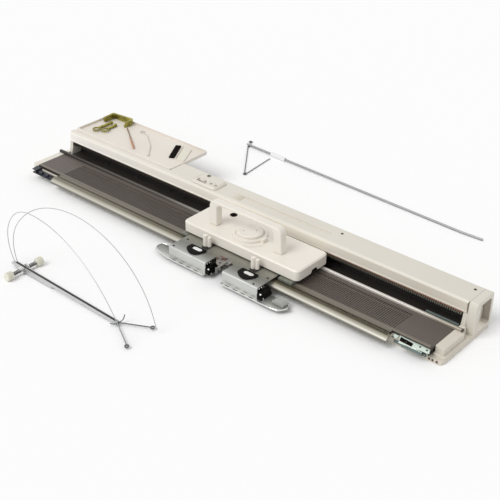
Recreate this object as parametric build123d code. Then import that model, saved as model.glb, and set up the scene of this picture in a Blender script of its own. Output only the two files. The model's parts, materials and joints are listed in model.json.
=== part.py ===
from build123d import *
import os
from math import atan2, cos, degrees, hypot, radians, sin

# Domestic flat-bed knitting machine with its carriage, loose mast rod and yarn tension unit.
# Millimetres. X runs along the needle bed to the right, Y from the knitter to the back, Z up.
# The origin is on the flat underside, at the middle of the base.

# Clearances shared by mating pieces
seam = 0.3
slide_play = 0.3
shaft_play = 0.06

# Base and end housings
machine_length = 1110.0
base_depth = 164.0
base_height = 8.0
base_floor = 3.0
base_rim = 8.0
base_end_rim = 30.0
base_corner_radius = 8.0
rib_thickness = 3.0
end_gap = 2.0
end_wall = 8.0
end_foot_y = 12.0
cap_foot_y = 21.5
curb_width = 12.5
curb_top_width = 11.0
curb_height = 26.2
grip_depth = 14.0
grip_margin = 8.0

# Needle bed
bed_end_margin = 25.0
bed_depth = 83.0
bed_front = -80.0
bed_lip = 2.0
bed_top = 26.5
bed_thickness = 6.5
needle_pitch = 4.5
needle_end_margin = 4.5
groove_width = 1.8
groove_depth = 4.0
groove_rear_margin = 17.0
needle_width = 1.2
needle_height = 3.4
needle_overhang = 11.0
needle_rear_margin = 4.0
peg_width = 1.0
peg_depth = 2.0
peg_height = 5.5
peg_distance = 9.5
retainer_width = 7.0
retainer_height = 1.5
retainer_end_margin = 2.0

# Rails that the carriage runs on
front_rail_margin = 75.0
front_rail_reach = 28.0
front_rail_bottom = 14.5
front_rail_crest = 27.0
front_rail_wall = 1.6
peg_ledge_height = 22.5
rear_rail_margin = 9.0
rear_rail_inset = 7.5
rear_rail_depth = 6.0
rear_rail_height = 5.0
stop_start = 11.0
stop_length = 63.0
stop_sheet = 1.6

# Housing behind the bed
cover_margin = 19.0
housing_top = 74.0
housing_wall = 2.5
fascia_y = 23.0
fascia_bottom = 49.0
fascia_bevel = 4.0
fascia_lip = 0.8
channel_front = 4.0
channel_rear = 58.0
channel_floor = 20.0
channel_wall = 2.0
channel_top = 66.0
channel_bar_length = 67.0
channel_bump_x = (-427.0, -326.0, -222.0, -181.0, 410.0)
trough_left = -36.0
trough_right = 212.0
trough_slope = 22.0
trough_front = 32.0
trough_rear = 54.0
trough_depth = 3.0
cover_screw_x = 228.0
cover_screw_margin = 11.0
cover_screw_y = 65.0

# Console on the housing
console_left = -148.0
console_right = -78.0
console_front = 27.0
console_rear = 70.0
console_height = 5.5
console_wall = 2.0
button_radius = 2.9
button_flange = 1.1
button_proud = 1.3
button_travel = 1.2
button_x = (-135.0, -117.0, -100.0, -87.0)
button_y = 41.0
rod_radius = 2.5
socket_x = -127.0
socket_y = 64.0
socket_play = 0.2
socket_wall = 1.3
socket_depth = 33.0
socket_rim = 1.0

# Tool tray and the tools that lie in it
tray_margin = 2.5
tray_length = 316.0
tray_front = 37.0
tray_rear = 157.0
tray_underside = 69.0
tray_height = 7.5
tray_wall = 2.5
tray_front_wall = 9.0
tray_floor = 2.0
tray_corner = 7.0
tray_shelf = 2.5
clamp_strip = 6.0
clamp_width = 7.0
clamp_length = 66.0
clamp_reach = 36.0
clamp_screw_radius = 3.0
clamp_ring_radius = 9.5

# Carriage
carriage_left = -62.0
carriage_length = 298.0
carriage_front_gap = 3.0
carriage_depth = 96.0
carriage_bottom = 36.0
carriage_top = 58.0
carriage_wall = 2.5
carriage_corner = 11.0
plate_thickness = 2.0
plate_inset = 1.0
cam_height = 4.5
handle_left_margin = 57.0
handle_right_margin = 71.0
handle_y = -48.0
handle_depth = 18.0
handle_post_width = 19.0
handle_top = 113.0
handle_bar = 11.0
dial_distance = 139.5
dial_y = -36.0
dial_radius = 27.0
dial_skirt_radius = 29.0
dial_skirt_height = 4.0
dial_height = 11.0
dial_boss_radius = 6.0
lever_radius = 35.0
lever_height = 3.6
lever_reach = 42.5
lever_play = 0.4
scale_ridges = 9
scale_start = 45.0
scale_end = 50.5
tripper_x = 0.5
tripper_y = 1.0
tripper_radius = 6.0
tripper_wall = 1.2
tripper_depth = 12.0
tripper_rim = 0.8

# Sinker plate in front of the carriage
sinker_top = 34.0
sinker_thickness = 1.6
sinker_left_margin = 21.0
sinker_right_margin = 45.0
sinker_front = -146.0
sinker_bend = 3.0
notch_left = 58.0
notch_right = 102.0
notch_rear = -112.0
guide_top = 9.6
guide_thickness = 1.6
arm_width = 15.0
arm_reach = 9.0
thumb_left_margin = 81.0
thumb_right_margin = 91.5
thumb_y = -97.5
thumb_radius = 4.8
thumb_height = 23.5
thumb_shaft_radius = 2.0
frame_distance = 52.5
frame_right_distance = 44.5
frame_y = -118.6
frame_height = 2.2
oval_length = 24.0
oval_width = 10.0
oval_play = 0.5
oval_proud = 1.2
oval_travel = 1.5
wheel_y = -127.0
wheel_pin_radius = 1.5
brush_wheel_margin = 23.0
brush_wheel_radius = 12.0
rubber_wheel_margin = 22.0
rubber_wheel_radius = 10.0
gate_pin_x = 88.0
gate_pin_y = -118.0

# Mast rod as it lies behind the machine
mast_start = (-274.0, 356.0, 5.2)
mast_bend = (339.0, 337.0, 2.6)
mast_end = (390.0, 339.0, 2.6)
guide_wire_radius = 1.0
guide_eye_radius = 4.5
slider_size = (44.0, 9.0, 8.0)
slider_at = 101.0

# Yarn tension unit as it lies in front of the machine
bar_left = -246.0
bar_right = 48.0
bar_y = -367.0
bar_width = 7.0
bar_wall = 1.2
axle_x = -221.0
axle_z = 9.0
axle_radius = 1.6
knob_radius = 8.5
knob_length = 15.0
knob_distance = 29.0
disc_radius = 7.5
disc_thickness = 1.0
spring_radius = 4.0
wire_radius = 0.75
eye_radius = 4.5

# Levels and ends worked out from the driving dimensions
half_length = machine_length / 2
base_front = bed_front - bed_lip
base_rear = base_front + base_depth
bed_half = half_length - bed_end_margin
cover_half = half_length - cover_margin
front_rail_half = bed_half - front_rail_margin
rear_rail_half = half_length - rear_rail_margin
bed_rear = bed_front + bed_depth
bed_bottom = bed_top - bed_thickness
groove_floor = bed_top - groove_depth
groove_rear = bed_rear - groove_rear_margin
needle_count = int((2 * front_rail_half - 2 * needle_end_margin) / needle_pitch)
needle_half = needle_pitch * needle_count / 2
peg_y = bed_front - peg_distance
front_rail_front = bed_front - front_rail_reach
rear_rail_front = bed_rear - rear_rail_inset
console_top = housing_top + console_height
console_ceiling = console_top - console_wall
tray_left = -cover_half + tray_margin
tray_right = tray_left + tray_length
tray_inside = tray_underside + tray_floor
carriage_right = carriage_left + carriage_length
carriage_front = bed_front - carriage_front_gap
carriage_rear = carriage_front + carriage_depth
handle_posts = (carriage_left + handle_left_margin, carriage_right - handle_right_margin)
dial_x = carriage_left + dial_distance
sinker_left = carriage_left + sinker_left_margin
sinker_right = carriage_right - sinker_right_margin
sinker_rear = bed_front
thumb_x = (carriage_left + thumb_left_margin, carriage_right - thumb_right_margin)
arm_front = thumb_y - arm_reach
frame_centres = ((sinker_left + frame_distance, frame_y), (sinker_right - frame_right_distance, frame_y))
brush_wheels_x = (sinker_left + brush_wheel_margin, sinker_right - brush_wheel_margin)
rubber_wheels_x = (notch_left - rubber_wheel_margin, notch_right + rubber_wheel_margin)
plate_bottom = carriage_bottom - plate_thickness
sinker_under = sinker_top - sinker_thickness
frame_top = sinker_top + frame_height


def block(x0, x1, y0, y1, z0, z1):
    """Box between two corners."""
    return Pos((x0 + x1) / 2, (y0 + y1) / 2, (z0 + z1) / 2) * Box(x1 - x0, y1 - y0, z1 - z0)


def disc(x, y, z0, z1, radius):
    """Upright cylinder."""
    return Pos(x, y, (z0 + z1) / 2) * Cylinder(radius, z1 - z0)


def many_sided(x, y, z0, z1, radius, sides=20):
    """Upright prism with many sides, for round forms that nothing turns on."""
    return Pos(x, y, z0) * extrude(RegularPolygon(radius, sides), amount=z1 - z0)


def faceted_hole(x, y, z0, z1, radius, sides=12):
    """Upright prism whose flats stand at the given radius, for holes round a pin or button."""
    flats = RegularPolygon(radius, sides, major_radius=False)
    return Pos(x, y, z0) * extrude(flats, amount=z1 - z0)


def cross_disc(x, z, y0, y1, radius):
    """Cylinder along Y."""
    return Pos(x, (y0 + y1) / 2, z) * Rot(90, 0, 0) * Cylinder(radius, y1 - y0)


def cross_many_sided(x, z, y0, y1, radius, sides=16):
    """Prism with many sides along Y."""
    return Pos(x, y1, z) * Rot(90, 0, 0) * extrude(RegularPolygon(radius, sides), amount=y1 - y0)


def outline(points, rounds=()):
    """Closed outline; each round is (index of the point, corner radius)."""
    face = make_face(Polyline(*points, close=True))
    for index, radius in rounds:
        x, y = points[index]
        corner = face.vertices().sort_by_distance(Vector(x, y, 0))[0]
        face = fillet(corner, radius)
    return face


def along_x(face, x0, x1):
    """Extrude an outline drawn in (y, z)."""
    return extrude(Plane.YZ.offset(x0) * face, amount=x1 - x0)


def along_y(face, y0, y1):
    """Extrude an outline drawn in (x, z)."""
    return extrude(Plane.XZ.offset(-y1) * face, amount=y1 - y0)


def upright(face, z0, z1):
    """Extrude an outline drawn in (x, y)."""
    return extrude(Plane.XY.offset(z0) * face, amount=z1 - z0)


def rounded_block(x0, x1, y0, y1, z0, z1, radius):
    """Box with rounded upright edges."""
    plan = Pos((x0 + x1) / 2, (y0 + y1) / 2) * RectangleRounded(x1 - x0, y1 - y0, radius)
    return upright(plan, z0, z1)


def cut_block(x0, x1, y0, y1, z0, z1, corner):
    """Box with its upright edges cut off twice, close to a rounded corner."""
    near, far = corner * 0.29, corner
    plan = [(x0 + far, y0), (x1 - far, y0), (x1 - near, y0 + near), (x1, y0 + far), (x1, y1 - far),
            (x1 - near, y1 - near), (x1 - far, y1), (x0 + far, y1), (x0 + near, y1 - near),
            (x0, y1 - far), (x0, y0 + far), (x0 + near, y0 + near)]
    return upright(outline(plan), z0, z1)


def long_plan(length, width, steps=4):
    """Long plan shape with faceted round ends."""
    radius, half = width / 2, (length - width) / 2
    points = []
    for side in (1, -1):
        for step in range(steps + 1):
            turn = radians(-90 + 180 * step / steps)
            points.append((side * (half + radius * cos(turn)), side * radius * sin(turn)))
    return outline(points)


def strut(start, end, width, z0, z1):
    """Bar with upright sides between two plan points."""
    run_x = end[0] - start[0]
    run_y = end[1] - start[1]
    place = Pos((start[0] + end[0]) / 2, (start[1] + end[1]) / 2, (z0 + z1) / 2)
    return place * Rot(0, 0, degrees(atan2(run_y, run_x))) * Box(hypot(run_x, run_y), width, z1 - z0)


def bent_rod(points, radius, bend):
    """Wire along straight runs with rounded bends."""
    path = FilletPolyline(*points, radius=bend) if len(points) > 2 else Line(*points)
    return sweep(Plane(origin=path @ 0, z_dir=path % 0) * RegularPolygon(radius, 6), path=path)


def eyelet(x, y, z, radius, hole, height):
    """Flat wire ring lying level."""
    return many_sided(x, y, z, z + height, radius, 12) - many_sided(x, y, z - 1, z + height + 1, hole, 12)


def ribbed(radius, depth, count):
    """Round outline with shallow grip ribs."""
    points = []
    for step in range(2 * count):
        reach = radius - depth * (step % 2)
        turn = radians(180 * step / count)
        points.append((reach * cos(turn), reach * sin(turn)))
    return outline(points)


# Base and ends

def make_base_tray():
    """Moulded base with a front wall and ribs that carry the bed and the rear channel."""
    tray = cut_block(-half_length, half_length, base_front, base_rear, 0, base_height,
                     base_corner_radius)
    inner_x = half_length - base_end_rim
    tray -= block(-inner_x, inner_x, base_front + rib_thickness, base_rear - base_rim,
                  base_floor, base_height + 1)
    tray += block(-inner_x, inner_x, base_front, base_front + rib_thickness, 0, bed_bottom)
    for rib_y in (bed_front + bed_depth / 2, bed_rear - rib_thickness):
        tray += block(-inner_x, inner_x, rib_y, rib_y + rib_thickness, 0, bed_bottom)
    for rib_y in (channel_front + 16.0, channel_rear - 8.0):
        tray += block(-inner_x, inner_x, rib_y, rib_y + rib_thickness, 0,
                      channel_floor - channel_wall)
    return tray


def foot_points(top_limit):
    """Leaning front of an end housing, from the base up to the given level."""
    points = [(end_foot_y, base_height), (end_foot_y + 2.0, base_height + 6.0),
              (fascia_y - 2.0, 40.0)]
    return points + [(fascia_y - 1.4, min(fascia_bottom - seam, top_limit))]


def end_plug(x0, x1, ceiling, bevel):
    """Wall that closes the end of the channel and fills the end of the cover."""
    front = fascia_y + housing_wall + seam
    rear = base_rear - housing_wall - seam
    points = foot_points(ceiling)
    points += [(front, fascia_bottom - seam), (front, ceiling - bevel), (front + bevel, ceiling),
               (rear, ceiling), (rear, base_height)]
    return along_x(outline(points), x0, x1)


def curb(side):
    """Bevelled block beside the end of the bed."""
    inner = bed_half + 0.5
    profile = [(inner, base_height), (inner + curb_width, base_height),
               (inner + curb_width, base_height + 1.5), (inner + curb_top_width, curb_height),
               (inner, curb_height)]
    front = bed_front + (14.0 if side > 0 else 4.0)
    return along_y(outline([(side * x, z) for x, z in profile]), front, end_foot_y + 4.0)


def cut_recess(x0, front, rear, low, high, corner=4.0):
    """Recess open at the outer end, with its four corners cut off."""
    points = [(front + corner, low), (rear - corner, low), (rear, low + corner),
              (rear, high - corner), (rear - corner, high), (front + corner, high),
              (front, high - corner), (front, low + corner)]
    return along_x(outline(points), x0, half_length + 1)


def make_end_housing_right():
    """Right end: outer cap with a deep grip recess, wall that closes the channel, and curb."""
    cap_left = cover_half + end_gap
    points = [(cap_foot_y, base_height), (cap_foot_y, fascia_bottom - 9.0),
              (fascia_y - 0.6, fascia_bottom), (fascia_y, housing_top - fascia_bevel - 3.0),
              (fascia_y + fascia_bevel, housing_top), (base_rear, housing_top),
              (base_rear, base_height)]
    cap = along_x(outline(points, ((4, 3.0), (5, 3.0))), cap_left, half_length)
    outer_face = cap.faces().sort_by(Axis.X)[-1]
    cap = chamfer(outer_face.edges().filter_by(lambda e: e.center().Z > base_height + 1), 1.5)
    low, high = base_height + 5.0, housing_top - grip_margin
    front, rear = fascia_y + grip_margin, base_rear - grip_margin
    cap -= cut_recess(half_length - grip_depth, front, rear, low, high)
    ceiling = housing_top - housing_wall - seam
    cap += end_plug(bed_half - 0.5, cap_left, ceiling, fascia_bevel)
    return cap + curb(1)


def make_end_housing_left():
    """Left end: wall that closes the channel below the tool tray, and curb."""
    ceiling = tray_underside - tray_shelf - seam
    return end_plug(-cover_half, -bed_half + 4.0, ceiling, 1.0) + curb(-1)


# Needle bed

def make_needle_bed():
    """Bed plate with one groove for each needle, open at the front edge."""
    points = [(-bed_half, bed_bottom), (-bed_half, bed_top)]
    for index in range(needle_count):
        middle = -needle_half + (index + 0.5) * needle_pitch
        left, right = middle - groove_width / 2, middle + groove_width / 2
        points += [(left, bed_top), (left, groove_floor), (right, groove_floor), (right, bed_top)]
    points += [(bed_half, bed_top), (bed_half, bed_bottom)]
    grooved = along_y(outline(points), bed_front, groove_rear)
    return grooved + block(-bed_half, bed_half, groove_rear, bed_rear, bed_bottom, bed_top)


def make_needles():
    """Needle stems resting on the groove floors, pushed forward to the gate pegs."""
    stems = []
    for index in range(needle_count):
        x = -needle_half + (index + 0.5) * needle_pitch
        stems.append(block(x - needle_width / 2, x + needle_width / 2,
                           bed_front - needle_overhang, groove_rear - needle_rear_margin,
                           groove_floor, groove_floor + needle_height))
    return Compound(children=stems)


def make_gate_pegs():
    """Upright pegs between the needle hooks."""
    pegs = []
    for index in range(needle_count + 1):
        x = -needle_half + index * needle_pitch
        pegs.append(block(x - peg_width / 2, x + peg_width / 2, peg_y - peg_depth / 2,
                          peg_y + peg_depth / 2, peg_ledge_height, peg_ledge_height + peg_height))
    return Compound(children=pegs)


def make_retainer_bar():
    """Strip that holds the needles down near the front edge."""
    half = bed_half - retainer_end_margin
    profile = outline([(bed_front, bed_top), (bed_front + retainer_width, bed_top),
                       (bed_front + retainer_width - 1, bed_top + retainer_height),
                       (bed_front + 1, bed_top + retainer_height)])
    return along_x(profile, -half, half)


def make_front_rail():
    """Rolled front rail with the ledge that the pegs and needle hooks stand on."""
    front, low, crest = front_rail_front, front_rail_bottom, front_rail_crest
    ledge, wall = peg_ledge_height, front_rail_wall
    outer = [(base_front, low), (front + 1, low), (front, low + 1.5), (front, low + 7),
             (-98.0, crest), (-92.5, crest), (-92.5, ledge), (bed_front, ledge),
             (bed_front, bed_bottom), (base_front, bed_bottom)]
    rail = along_x(outline(outer, ((3, 6.0), (4, 4.0), (5, 1.0))), -front_rail_half, front_rail_half)
    inner = [(base_front - wall, low - 1), (front + wall, low - 1), (front + wall, ledge - 4),
             (front + wall + 4, ledge - wall), (base_front - wall, ledge - wall)]
    return rail - along_x(outline(inner), -front_rail_half - 1, front_rail_half + 1)


def make_rear_rail():
    """Bright bar on the rear of the bed that the carriage hangs on."""
    bar = block(-rear_rail_half, rear_rail_half, rear_rail_front, rear_rail_front + rear_rail_depth,
                bed_top, bed_top + rear_rail_height)
    return chamfer(bar.edges().filter_by(Axis.X).group_by(Axis.Z)[-1], 0.8)


def make_stop_plates():
    """Plates at the front corners of the bed: a slotted one at the right, a low bracket at the left."""
    start = front_rail_half + stop_start
    end = start + stop_length
    front, top = bed_front - 19.5, peg_ledge_height + 1.5
    low = front_rail_bottom
    plan = [(start, bed_front - 0.3), (end, bed_front - 0.3), (end + 5, bed_front - 11.5),
            (start + 10, front)]
    slot = [(start + 7, bed_front - 5), (start + 30, bed_front - 7),
            (start + 32, bed_front - 14.5), (start + 11, bed_front - 13.5)]
    right = upright(outline(plan), top - stop_sheet, top)
    right -= upright(outline(slot), top - 3, top + 1)
    right += block(start + 14, start + 56, front + 3, front + 3 + stop_sheet, low, top - stop_sheet)
    right += block(start + 14, start + 56, front + 3, base_front, low, low + stop_sheet)
    left = upright(outline([(-end - 5, bed_front - 0.3), (-end + 12, bed_front - 0.3),
                            (-end + 12, front), (-end - 1, front)]), top - stop_sheet, top)
    left += block(-end + 8, -end + 12, front, base_front, low, top - stop_sheet)
    left += block(-end - 1, -start, front, base_front, low, low + stop_sheet)
    for place in (18.0, 38.0):
        left += block(-end + place, -end + place + 10, front + 3, front + 9, low + stop_sheet, low + 7)
    return Compound(children=[right, left])


# Housing behind the bed

def make_rear_cover():
    """Long bent cover: fascia, bevel, flat top and back wall, open below and at both ends."""
    front, rear, top, wall = fascia_y, base_rear, housing_top, housing_wall
    inner_bevel = fascia_bevel - 0.4 * wall
    points = [(front, fascia_bottom), (front - fascia_lip, fascia_bottom + 1),
              (front - fascia_lip, fascia_bottom + 3), (front, fascia_bottom + 4),
              (front, top - fascia_bevel), (front + fascia_bevel, top), (rear, top),
              (rear, base_height), (rear - wall, base_height), (rear - wall, top - wall),
              (front + wall + inner_bevel, top - wall), (front + wall, top - wall - inner_bevel),
              (front + wall, fascia_bottom)]
    cover = along_x(outline(points, ((4, 2.0), (5, 2.0), (6, 4.0))), -cover_half, cover_half)
    shelf_right, shelf_front = tray_right, tray_front
    cover -= block(-cover_half - 1, shelf_right, shelf_front, rear + 1, tray_underside, top + 1)
    cover += block(-cover_half, shelf_right + wall, shelf_front - wall, rear,
                   tray_underside - tray_shelf, tray_underside)
    cover += block(-cover_half, shelf_right, shelf_front - wall, shelf_front,
                   tray_underside - 1, top)
    cover += block(trough_left - wall, trough_right + wall, trough_front - wall, trough_rear + wall,
                   top - trough_depth - wall + 0.5, top - wall)
    cover += block(shelf_right, shelf_right + wall, shelf_front - wall, rear - 4,
                   tray_underside - 1, top)
    trough = [(trough_left, top), (trough_left + trough_slope, top - trough_depth),
              (trough_right, top - trough_depth), (trough_right, top), (trough_right, top + 1),
              (trough_left, top + 1)]
    cover -= along_y(outline(trough), trough_front, trough_rear)
    socket_hole = rod_radius + socket_play + socket_wall + seam
    return cover - many_sided(socket_x, socket_y, top - 5, top + 1, socket_hole)


def make_rear_channel():
    """Dark channel behind the bed: floor, stepped ledge and tall back wall."""
    floor, wall = channel_floor, channel_wall
    points = [(channel_front, floor - wall), (channel_rear, floor - wall),
              (channel_rear, channel_top), (channel_rear - wall, channel_top),
              (channel_rear - wall, floor + 8), (42, floor + 8), (42, floor),
              (channel_front + wall, floor), (channel_front + wall, floor + 3),
              (channel_front, floor + 3)]
    channel = along_x(outline(points), -bed_half + 4.5, bed_half - 0.8)
    for x in channel_bump_x:
        channel += many_sided(x, 36, floor, floor + 2, 3, 8)
    return channel


def make_channel_bar():
    """Short bright guide bar at the right end of the channel."""
    right = bed_half - 0.8
    left = right - channel_bar_length
    floor = channel_floor
    profile = outline([(7, floor), (13, floor), (13, floor + 8), (11.5, floor + 10), (7, floor + 10)])
    return along_x(profile, left, right)


def make_cover_screws():
    """Flat screw heads on the cover."""
    heads = []
    for x in (cover_screw_x, cover_half - cover_screw_margin):
        heads.append(many_sided(x, cover_screw_y, housing_top, housing_top + 0.8, 2.8, 12))
    return Compound(children=heads)


# Console and mast socket

def make_console_cover():
    """Low control box with sloped edges and holes for its four buttons."""
    front, rear, top = console_front, console_rear, console_top
    body = cut_block(console_left, console_right, front, rear, housing_top, top, 8.0)
    body = chamfer(body.edges().group_by(Axis.Z)[-1], 3.0)
    body -= block(console_left + console_wall + 2, console_right - console_wall - 2, front + 6,
                  rear - console_wall - 2, housing_top - 1, console_ceiling)
    for x in button_x:
        body -= faceted_hole(x, button_y, console_ceiling - 1, top + 1, button_radius + slide_play, 16)
    body -= window_block()
    return body - many_sided(socket_x, socket_y, housing_top, top + 1,
                             rod_radius + socket_play + socket_wall + seam / 2)


def window_block():
    """Dark counter window set flush in the console top."""
    left, near = console_left + 14.0, console_front + 4.0
    return block(left, left + 23, near, near + 5.5, console_top - 1, console_top)


def make_console_button(x):
    """Push button with a flange that keeps it under the console top."""
    top = console_top + button_proud
    button = many_sided(x, button_y, console_ceiling - seam, top, button_radius, 16)
    button = chamfer(button.edges().group_by(Axis.Z)[-1], 0.5)
    flange_top = console_ceiling - seam
    return button + many_sided(x, button_y, flange_top - 1.2, flange_top,
                               button_radius + button_flange, 16)


def make_mast_socket():
    """Tube through the console that holds the mast rod upright."""
    bore = rod_radius + socket_play
    top = console_top + socket_rim
    tube = many_sided(socket_x, socket_y, top - socket_depth - 1.5, top, bore + socket_wall)
    tube += many_sided(socket_x, socket_y, console_top, top, bore + socket_wall + 0.6)
    return tube - disc(socket_x, socket_y, top - socket_depth, top + 1, bore)


# Tool tray and tools

def in_tray(shape):
    """Place a shape drawn from the tray's front left corner, with its floor at level 0."""
    return Pos(tray_left, tray_front, tray_inside) * shape


def make_tool_tray():
    """Shallow tray let into the cover's left end and standing out behind it."""
    rim = tray_underside + tray_height
    tray = cut_block(tray_left, tray_right, tray_front, tray_rear, tray_underside, rim, tray_corner)
    tray = chamfer(tray.edges().group_by(Axis.Z)[-1], 1.0)
    tray -= cut_block(tray_left + tray_wall, tray_right - tray_wall, tray_front + tray_front_wall,
                      tray_rear - tray_wall, tray_inside, rim + 1, tray_corner - tray_wall)
    ribs = strut((252, 106), (285, 45), 1.6, -1, 3) + strut((278, 106), (307, 49), 1.6, -1, 2)
    ribs += strut((285, 45), (307, 49), 1.6, -1, 3)
    return tray + in_tray(ribs)


def make_clamp_frames():
    """Two table clamp frames bent from flat strip, one laid on the other."""
    plan = outline([(0, 0), (clamp_strip, 0), (clamp_strip, clamp_reach - clamp_strip),
                    (clamp_length - clamp_strip, clamp_reach - clamp_strip),
                    (clamp_length - clamp_strip, 10), (clamp_length, 10),
                    (clamp_length, clamp_reach - 4), (clamp_length - 4, clamp_reach),
                    (4, clamp_reach), (0, clamp_reach - 4)])
    frames = []
    for level, (x, y, turn) in enumerate(((11, 79, 0), (15, 75, 6))):
        low = level * clamp_width
        frames.append(in_tray(upright(Pos(x, y) * Rot(0, 0, turn) * plan, low, low + clamp_width)))
    return Compound(children=frames)


def make_clamp_screws():
    """Clamp screws with ring handles and round feet."""
    screws = []
    radius = clamp_screw_radius
    for x, y, turn, length in ((37, 34, 91, 40), (56, 44, 92, 26)):
        ring = extrude(RegularPolygon(clamp_ring_radius, 16), amount=3)
        ring -= extrude(RegularPolygon(clamp_ring_radius - 3, 12), amount=3)
        shaft = Rot(0, 90, 0) * extrude(RegularPolygon(radius, 8), amount=length)
        foot = Rot(0, 90, 0) * extrude(RegularPolygon(radius + 1, 8), amount=3)
        shaft = Pos(clamp_ring_radius - 1.5, 0, 1.5) * (shaft + Pos(length - 1, 0, 0) * foot)
        screws.append(in_tray(Pos(x, y, 2.6) * Rot(0, 0, turn) * (ring + shaft)))
    return Compound(children=screws)


def make_latch_tool():
    """Latch tool: hooked steel stem in a slim handle."""
    handle = strut((131.5, 54.5), (177.5, 22), 5, 0, 4)
    return in_tray(handle + strut((81.5, 90), (132.5, 54), 2.2, 0, 2.5))


def make_transfer_tool():
    """Slim two-ended transfer tool, bowed in the middle."""
    level = 1.2
    stem = bent_rod([(129, 97.7, level), (147.5, 93, level), (195.5, 57, level),
                     (221.5, 25.5, level)], 1.0, 12)
    stem += eyelet(124.5, 98.5, 0, 6, 3, 2.2)
    return in_tray(stem + strut((220.5, 26.5), (226.5, 19), 4, 0, 2.4))


def make_needle_pusher():
    """Dark needle selector plate with a row of teeth along one edge."""
    plate = Box(62, 13, 3)
    for step in range(9):
        plate -= Pos(-28 + 7 * step, -6.5, 0) * Box(3.5, 4, 4)
    return in_tray(Pos(257, 73.5, 1.5) * Rot(0, 0, -60) * plate)


# Carriage

def make_carriage_base():
    """Steel plate under the carriage with the rear hook guide and the two front arms."""
    plate = rounded_block(carriage_left + plate_inset, carriage_right - plate_inset,
                          carriage_front + plate_inset, carriage_rear - plate_inset,
                          plate_bottom, carriage_bottom, carriage_corner - plate_inset)
    low = bed_top + 1.6
    slot_front = rear_rail_front - slide_play
    slot_rear = rear_rail_front + rear_rail_depth + slide_play
    slot_top = bed_top + rear_rail_height + slide_play
    hook = outline([(slot_front - 4, low), (slot_front, low), (slot_front, slot_top),
                    (slot_rear, slot_top), (slot_rear, low), (slot_rear + 4, low),
                    (slot_rear + 4, plate_bottom), (slot_front - 4, plate_bottom)])
    plate += along_x(hook, carriage_left + 6, carriage_right - 6)
    for x in thumb_x:
        plate += block(x - arm_width / 2, x + arm_width / 2, arm_front, carriage_front + 2,
                       plate_bottom, carriage_bottom)
        plate -= faceted_hole(x, thumb_y, plate_bottom - 1, carriage_bottom + 1,
                              thumb_shaft_radius + shaft_play)
    return plate


def make_cam_plates():
    """Cam track walls that work the needle butts."""
    low = plate_bottom - cam_height
    middle = (carriage_left + carriage_right) / 2
    plates = []
    for side in (-1, 1):
        wing = [(25, -62), (60, -62), (110, -40), (110, -30), (62, -52), (25, -52)]
        plates.append(upright(outline([(middle + side * x, y) for x, y in wing]), low, plate_bottom))
    centre = [(middle - 18, -38), (middle, -60), (middle + 18, -38), (middle, -20)]
    plates.append(upright(outline(centre), low, plate_bottom))
    plates.append(block(carriage_left + 10, carriage_right - 10, -19, -14, low, plate_bottom))
    return Compound(children=plates)


def make_front_shoes():
    """Bright sliding shoes that stand out below the carriage's front corners."""
    low = bed_top + retainer_height + slide_play
    step = peg_ledge_height + peg_height + slide_play
    profile = [(bed_front + retainer_width, low), (bed_front + retainer_width, plate_bottom),
               (peg_y - 1.5, plate_bottom), (peg_y - 1.5, step), (bed_front - 5.5, step),
               (bed_front - 4, low)]
    shoes = []
    for x0, x1 in ((carriage_left + 3, sinker_left - 2), (sinker_right + 5, carriage_right - 8)):
        shoes.append(along_x(outline(profile), x0, x1))
    return Compound(children=shoes)


def make_carriage_cover():
    """Moulded carriage cover with the dial boss, the scale ridges and the side notch."""
    left, right, front, rear = carriage_left, carriage_right, carriage_front, carriage_rear
    top, wall = carriage_top, carriage_wall
    cover = rounded_block(left, right, front, rear, carriage_bottom, top, carriage_corner)
    cover = chamfer(cover.edges().group_by(Axis.Z)[-1], 2.5)
    cover -= cut_block(left + wall, right - wall, front + wall, rear - wall, carriage_bottom - 1,
                       top - wall, carriage_corner - wall)
    notch = outline([(-42, carriage_bottom - 1), (-20, carriage_bottom - 1),
                     (-24, carriage_bottom + 7), (-38, carriage_bottom + 7)])
    cover -= along_x(notch, right - wall - 1, right + 1)
    cover -= block(right - 47, right - 14, 5.0, 8.0, top - 0.8, top + 1)
    cover += disc(dial_x, dial_y, top - wall, top + dial_height - 2, dial_boss_radius)
    reach = dial_y - carriage_front - 3.5
    for step in range(scale_ridges):
        turn = radians(-66 + 5.5 * step)
        end = min(scale_end, reach / abs(sin(turn)))
        start = (dial_x + scale_start * cos(turn), dial_y + scale_start * sin(turn))
        finish = (dial_x + end * cos(turn), dial_y + end * sin(turn))
        cover += strut(start, finish, 2.0, top - 1, top + 1.6)
    return cover - many_sided(tripper_x, tripper_y, top - 4, top + 1,
                              tripper_radius + tripper_wall + seam)


def make_carriage_handle():
    """Arched carrying handle with two broad posts."""
    left, right = handle_posts
    half = handle_post_width / 2
    top, low = handle_top, handle_top - handle_bar
    outer = [(left - half, carriage_top), (left - half + 3, top - 11), (left - half + 7, top - 4),
             (left - half + 14, top - 1), ((left + right) / 2, top), (right + half - 14, top - 1),
             (right + half - 7, top - 4), (right + half - 3, top - 11), (right + half, carriage_top)]
    inner = [(right - half, carriage_top), (right - half - 2, low - 10), (right - half - 7, low - 3),
             (right - half - 16, low), (left + half + 16, low), (left + half + 7, low - 3),
             (left + half + 2, low - 10), (left + half, carriage_top)]
    handle = along_y(outline(outer + inner), handle_y - handle_depth / 2, handle_y + handle_depth / 2)
    sides = handle.faces().filter_by(Axis.Y).edges()
    return chamfer(sides.filter_by(lambda edge: edge.center().Z > carriage_top + 1), 2.5)


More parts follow.
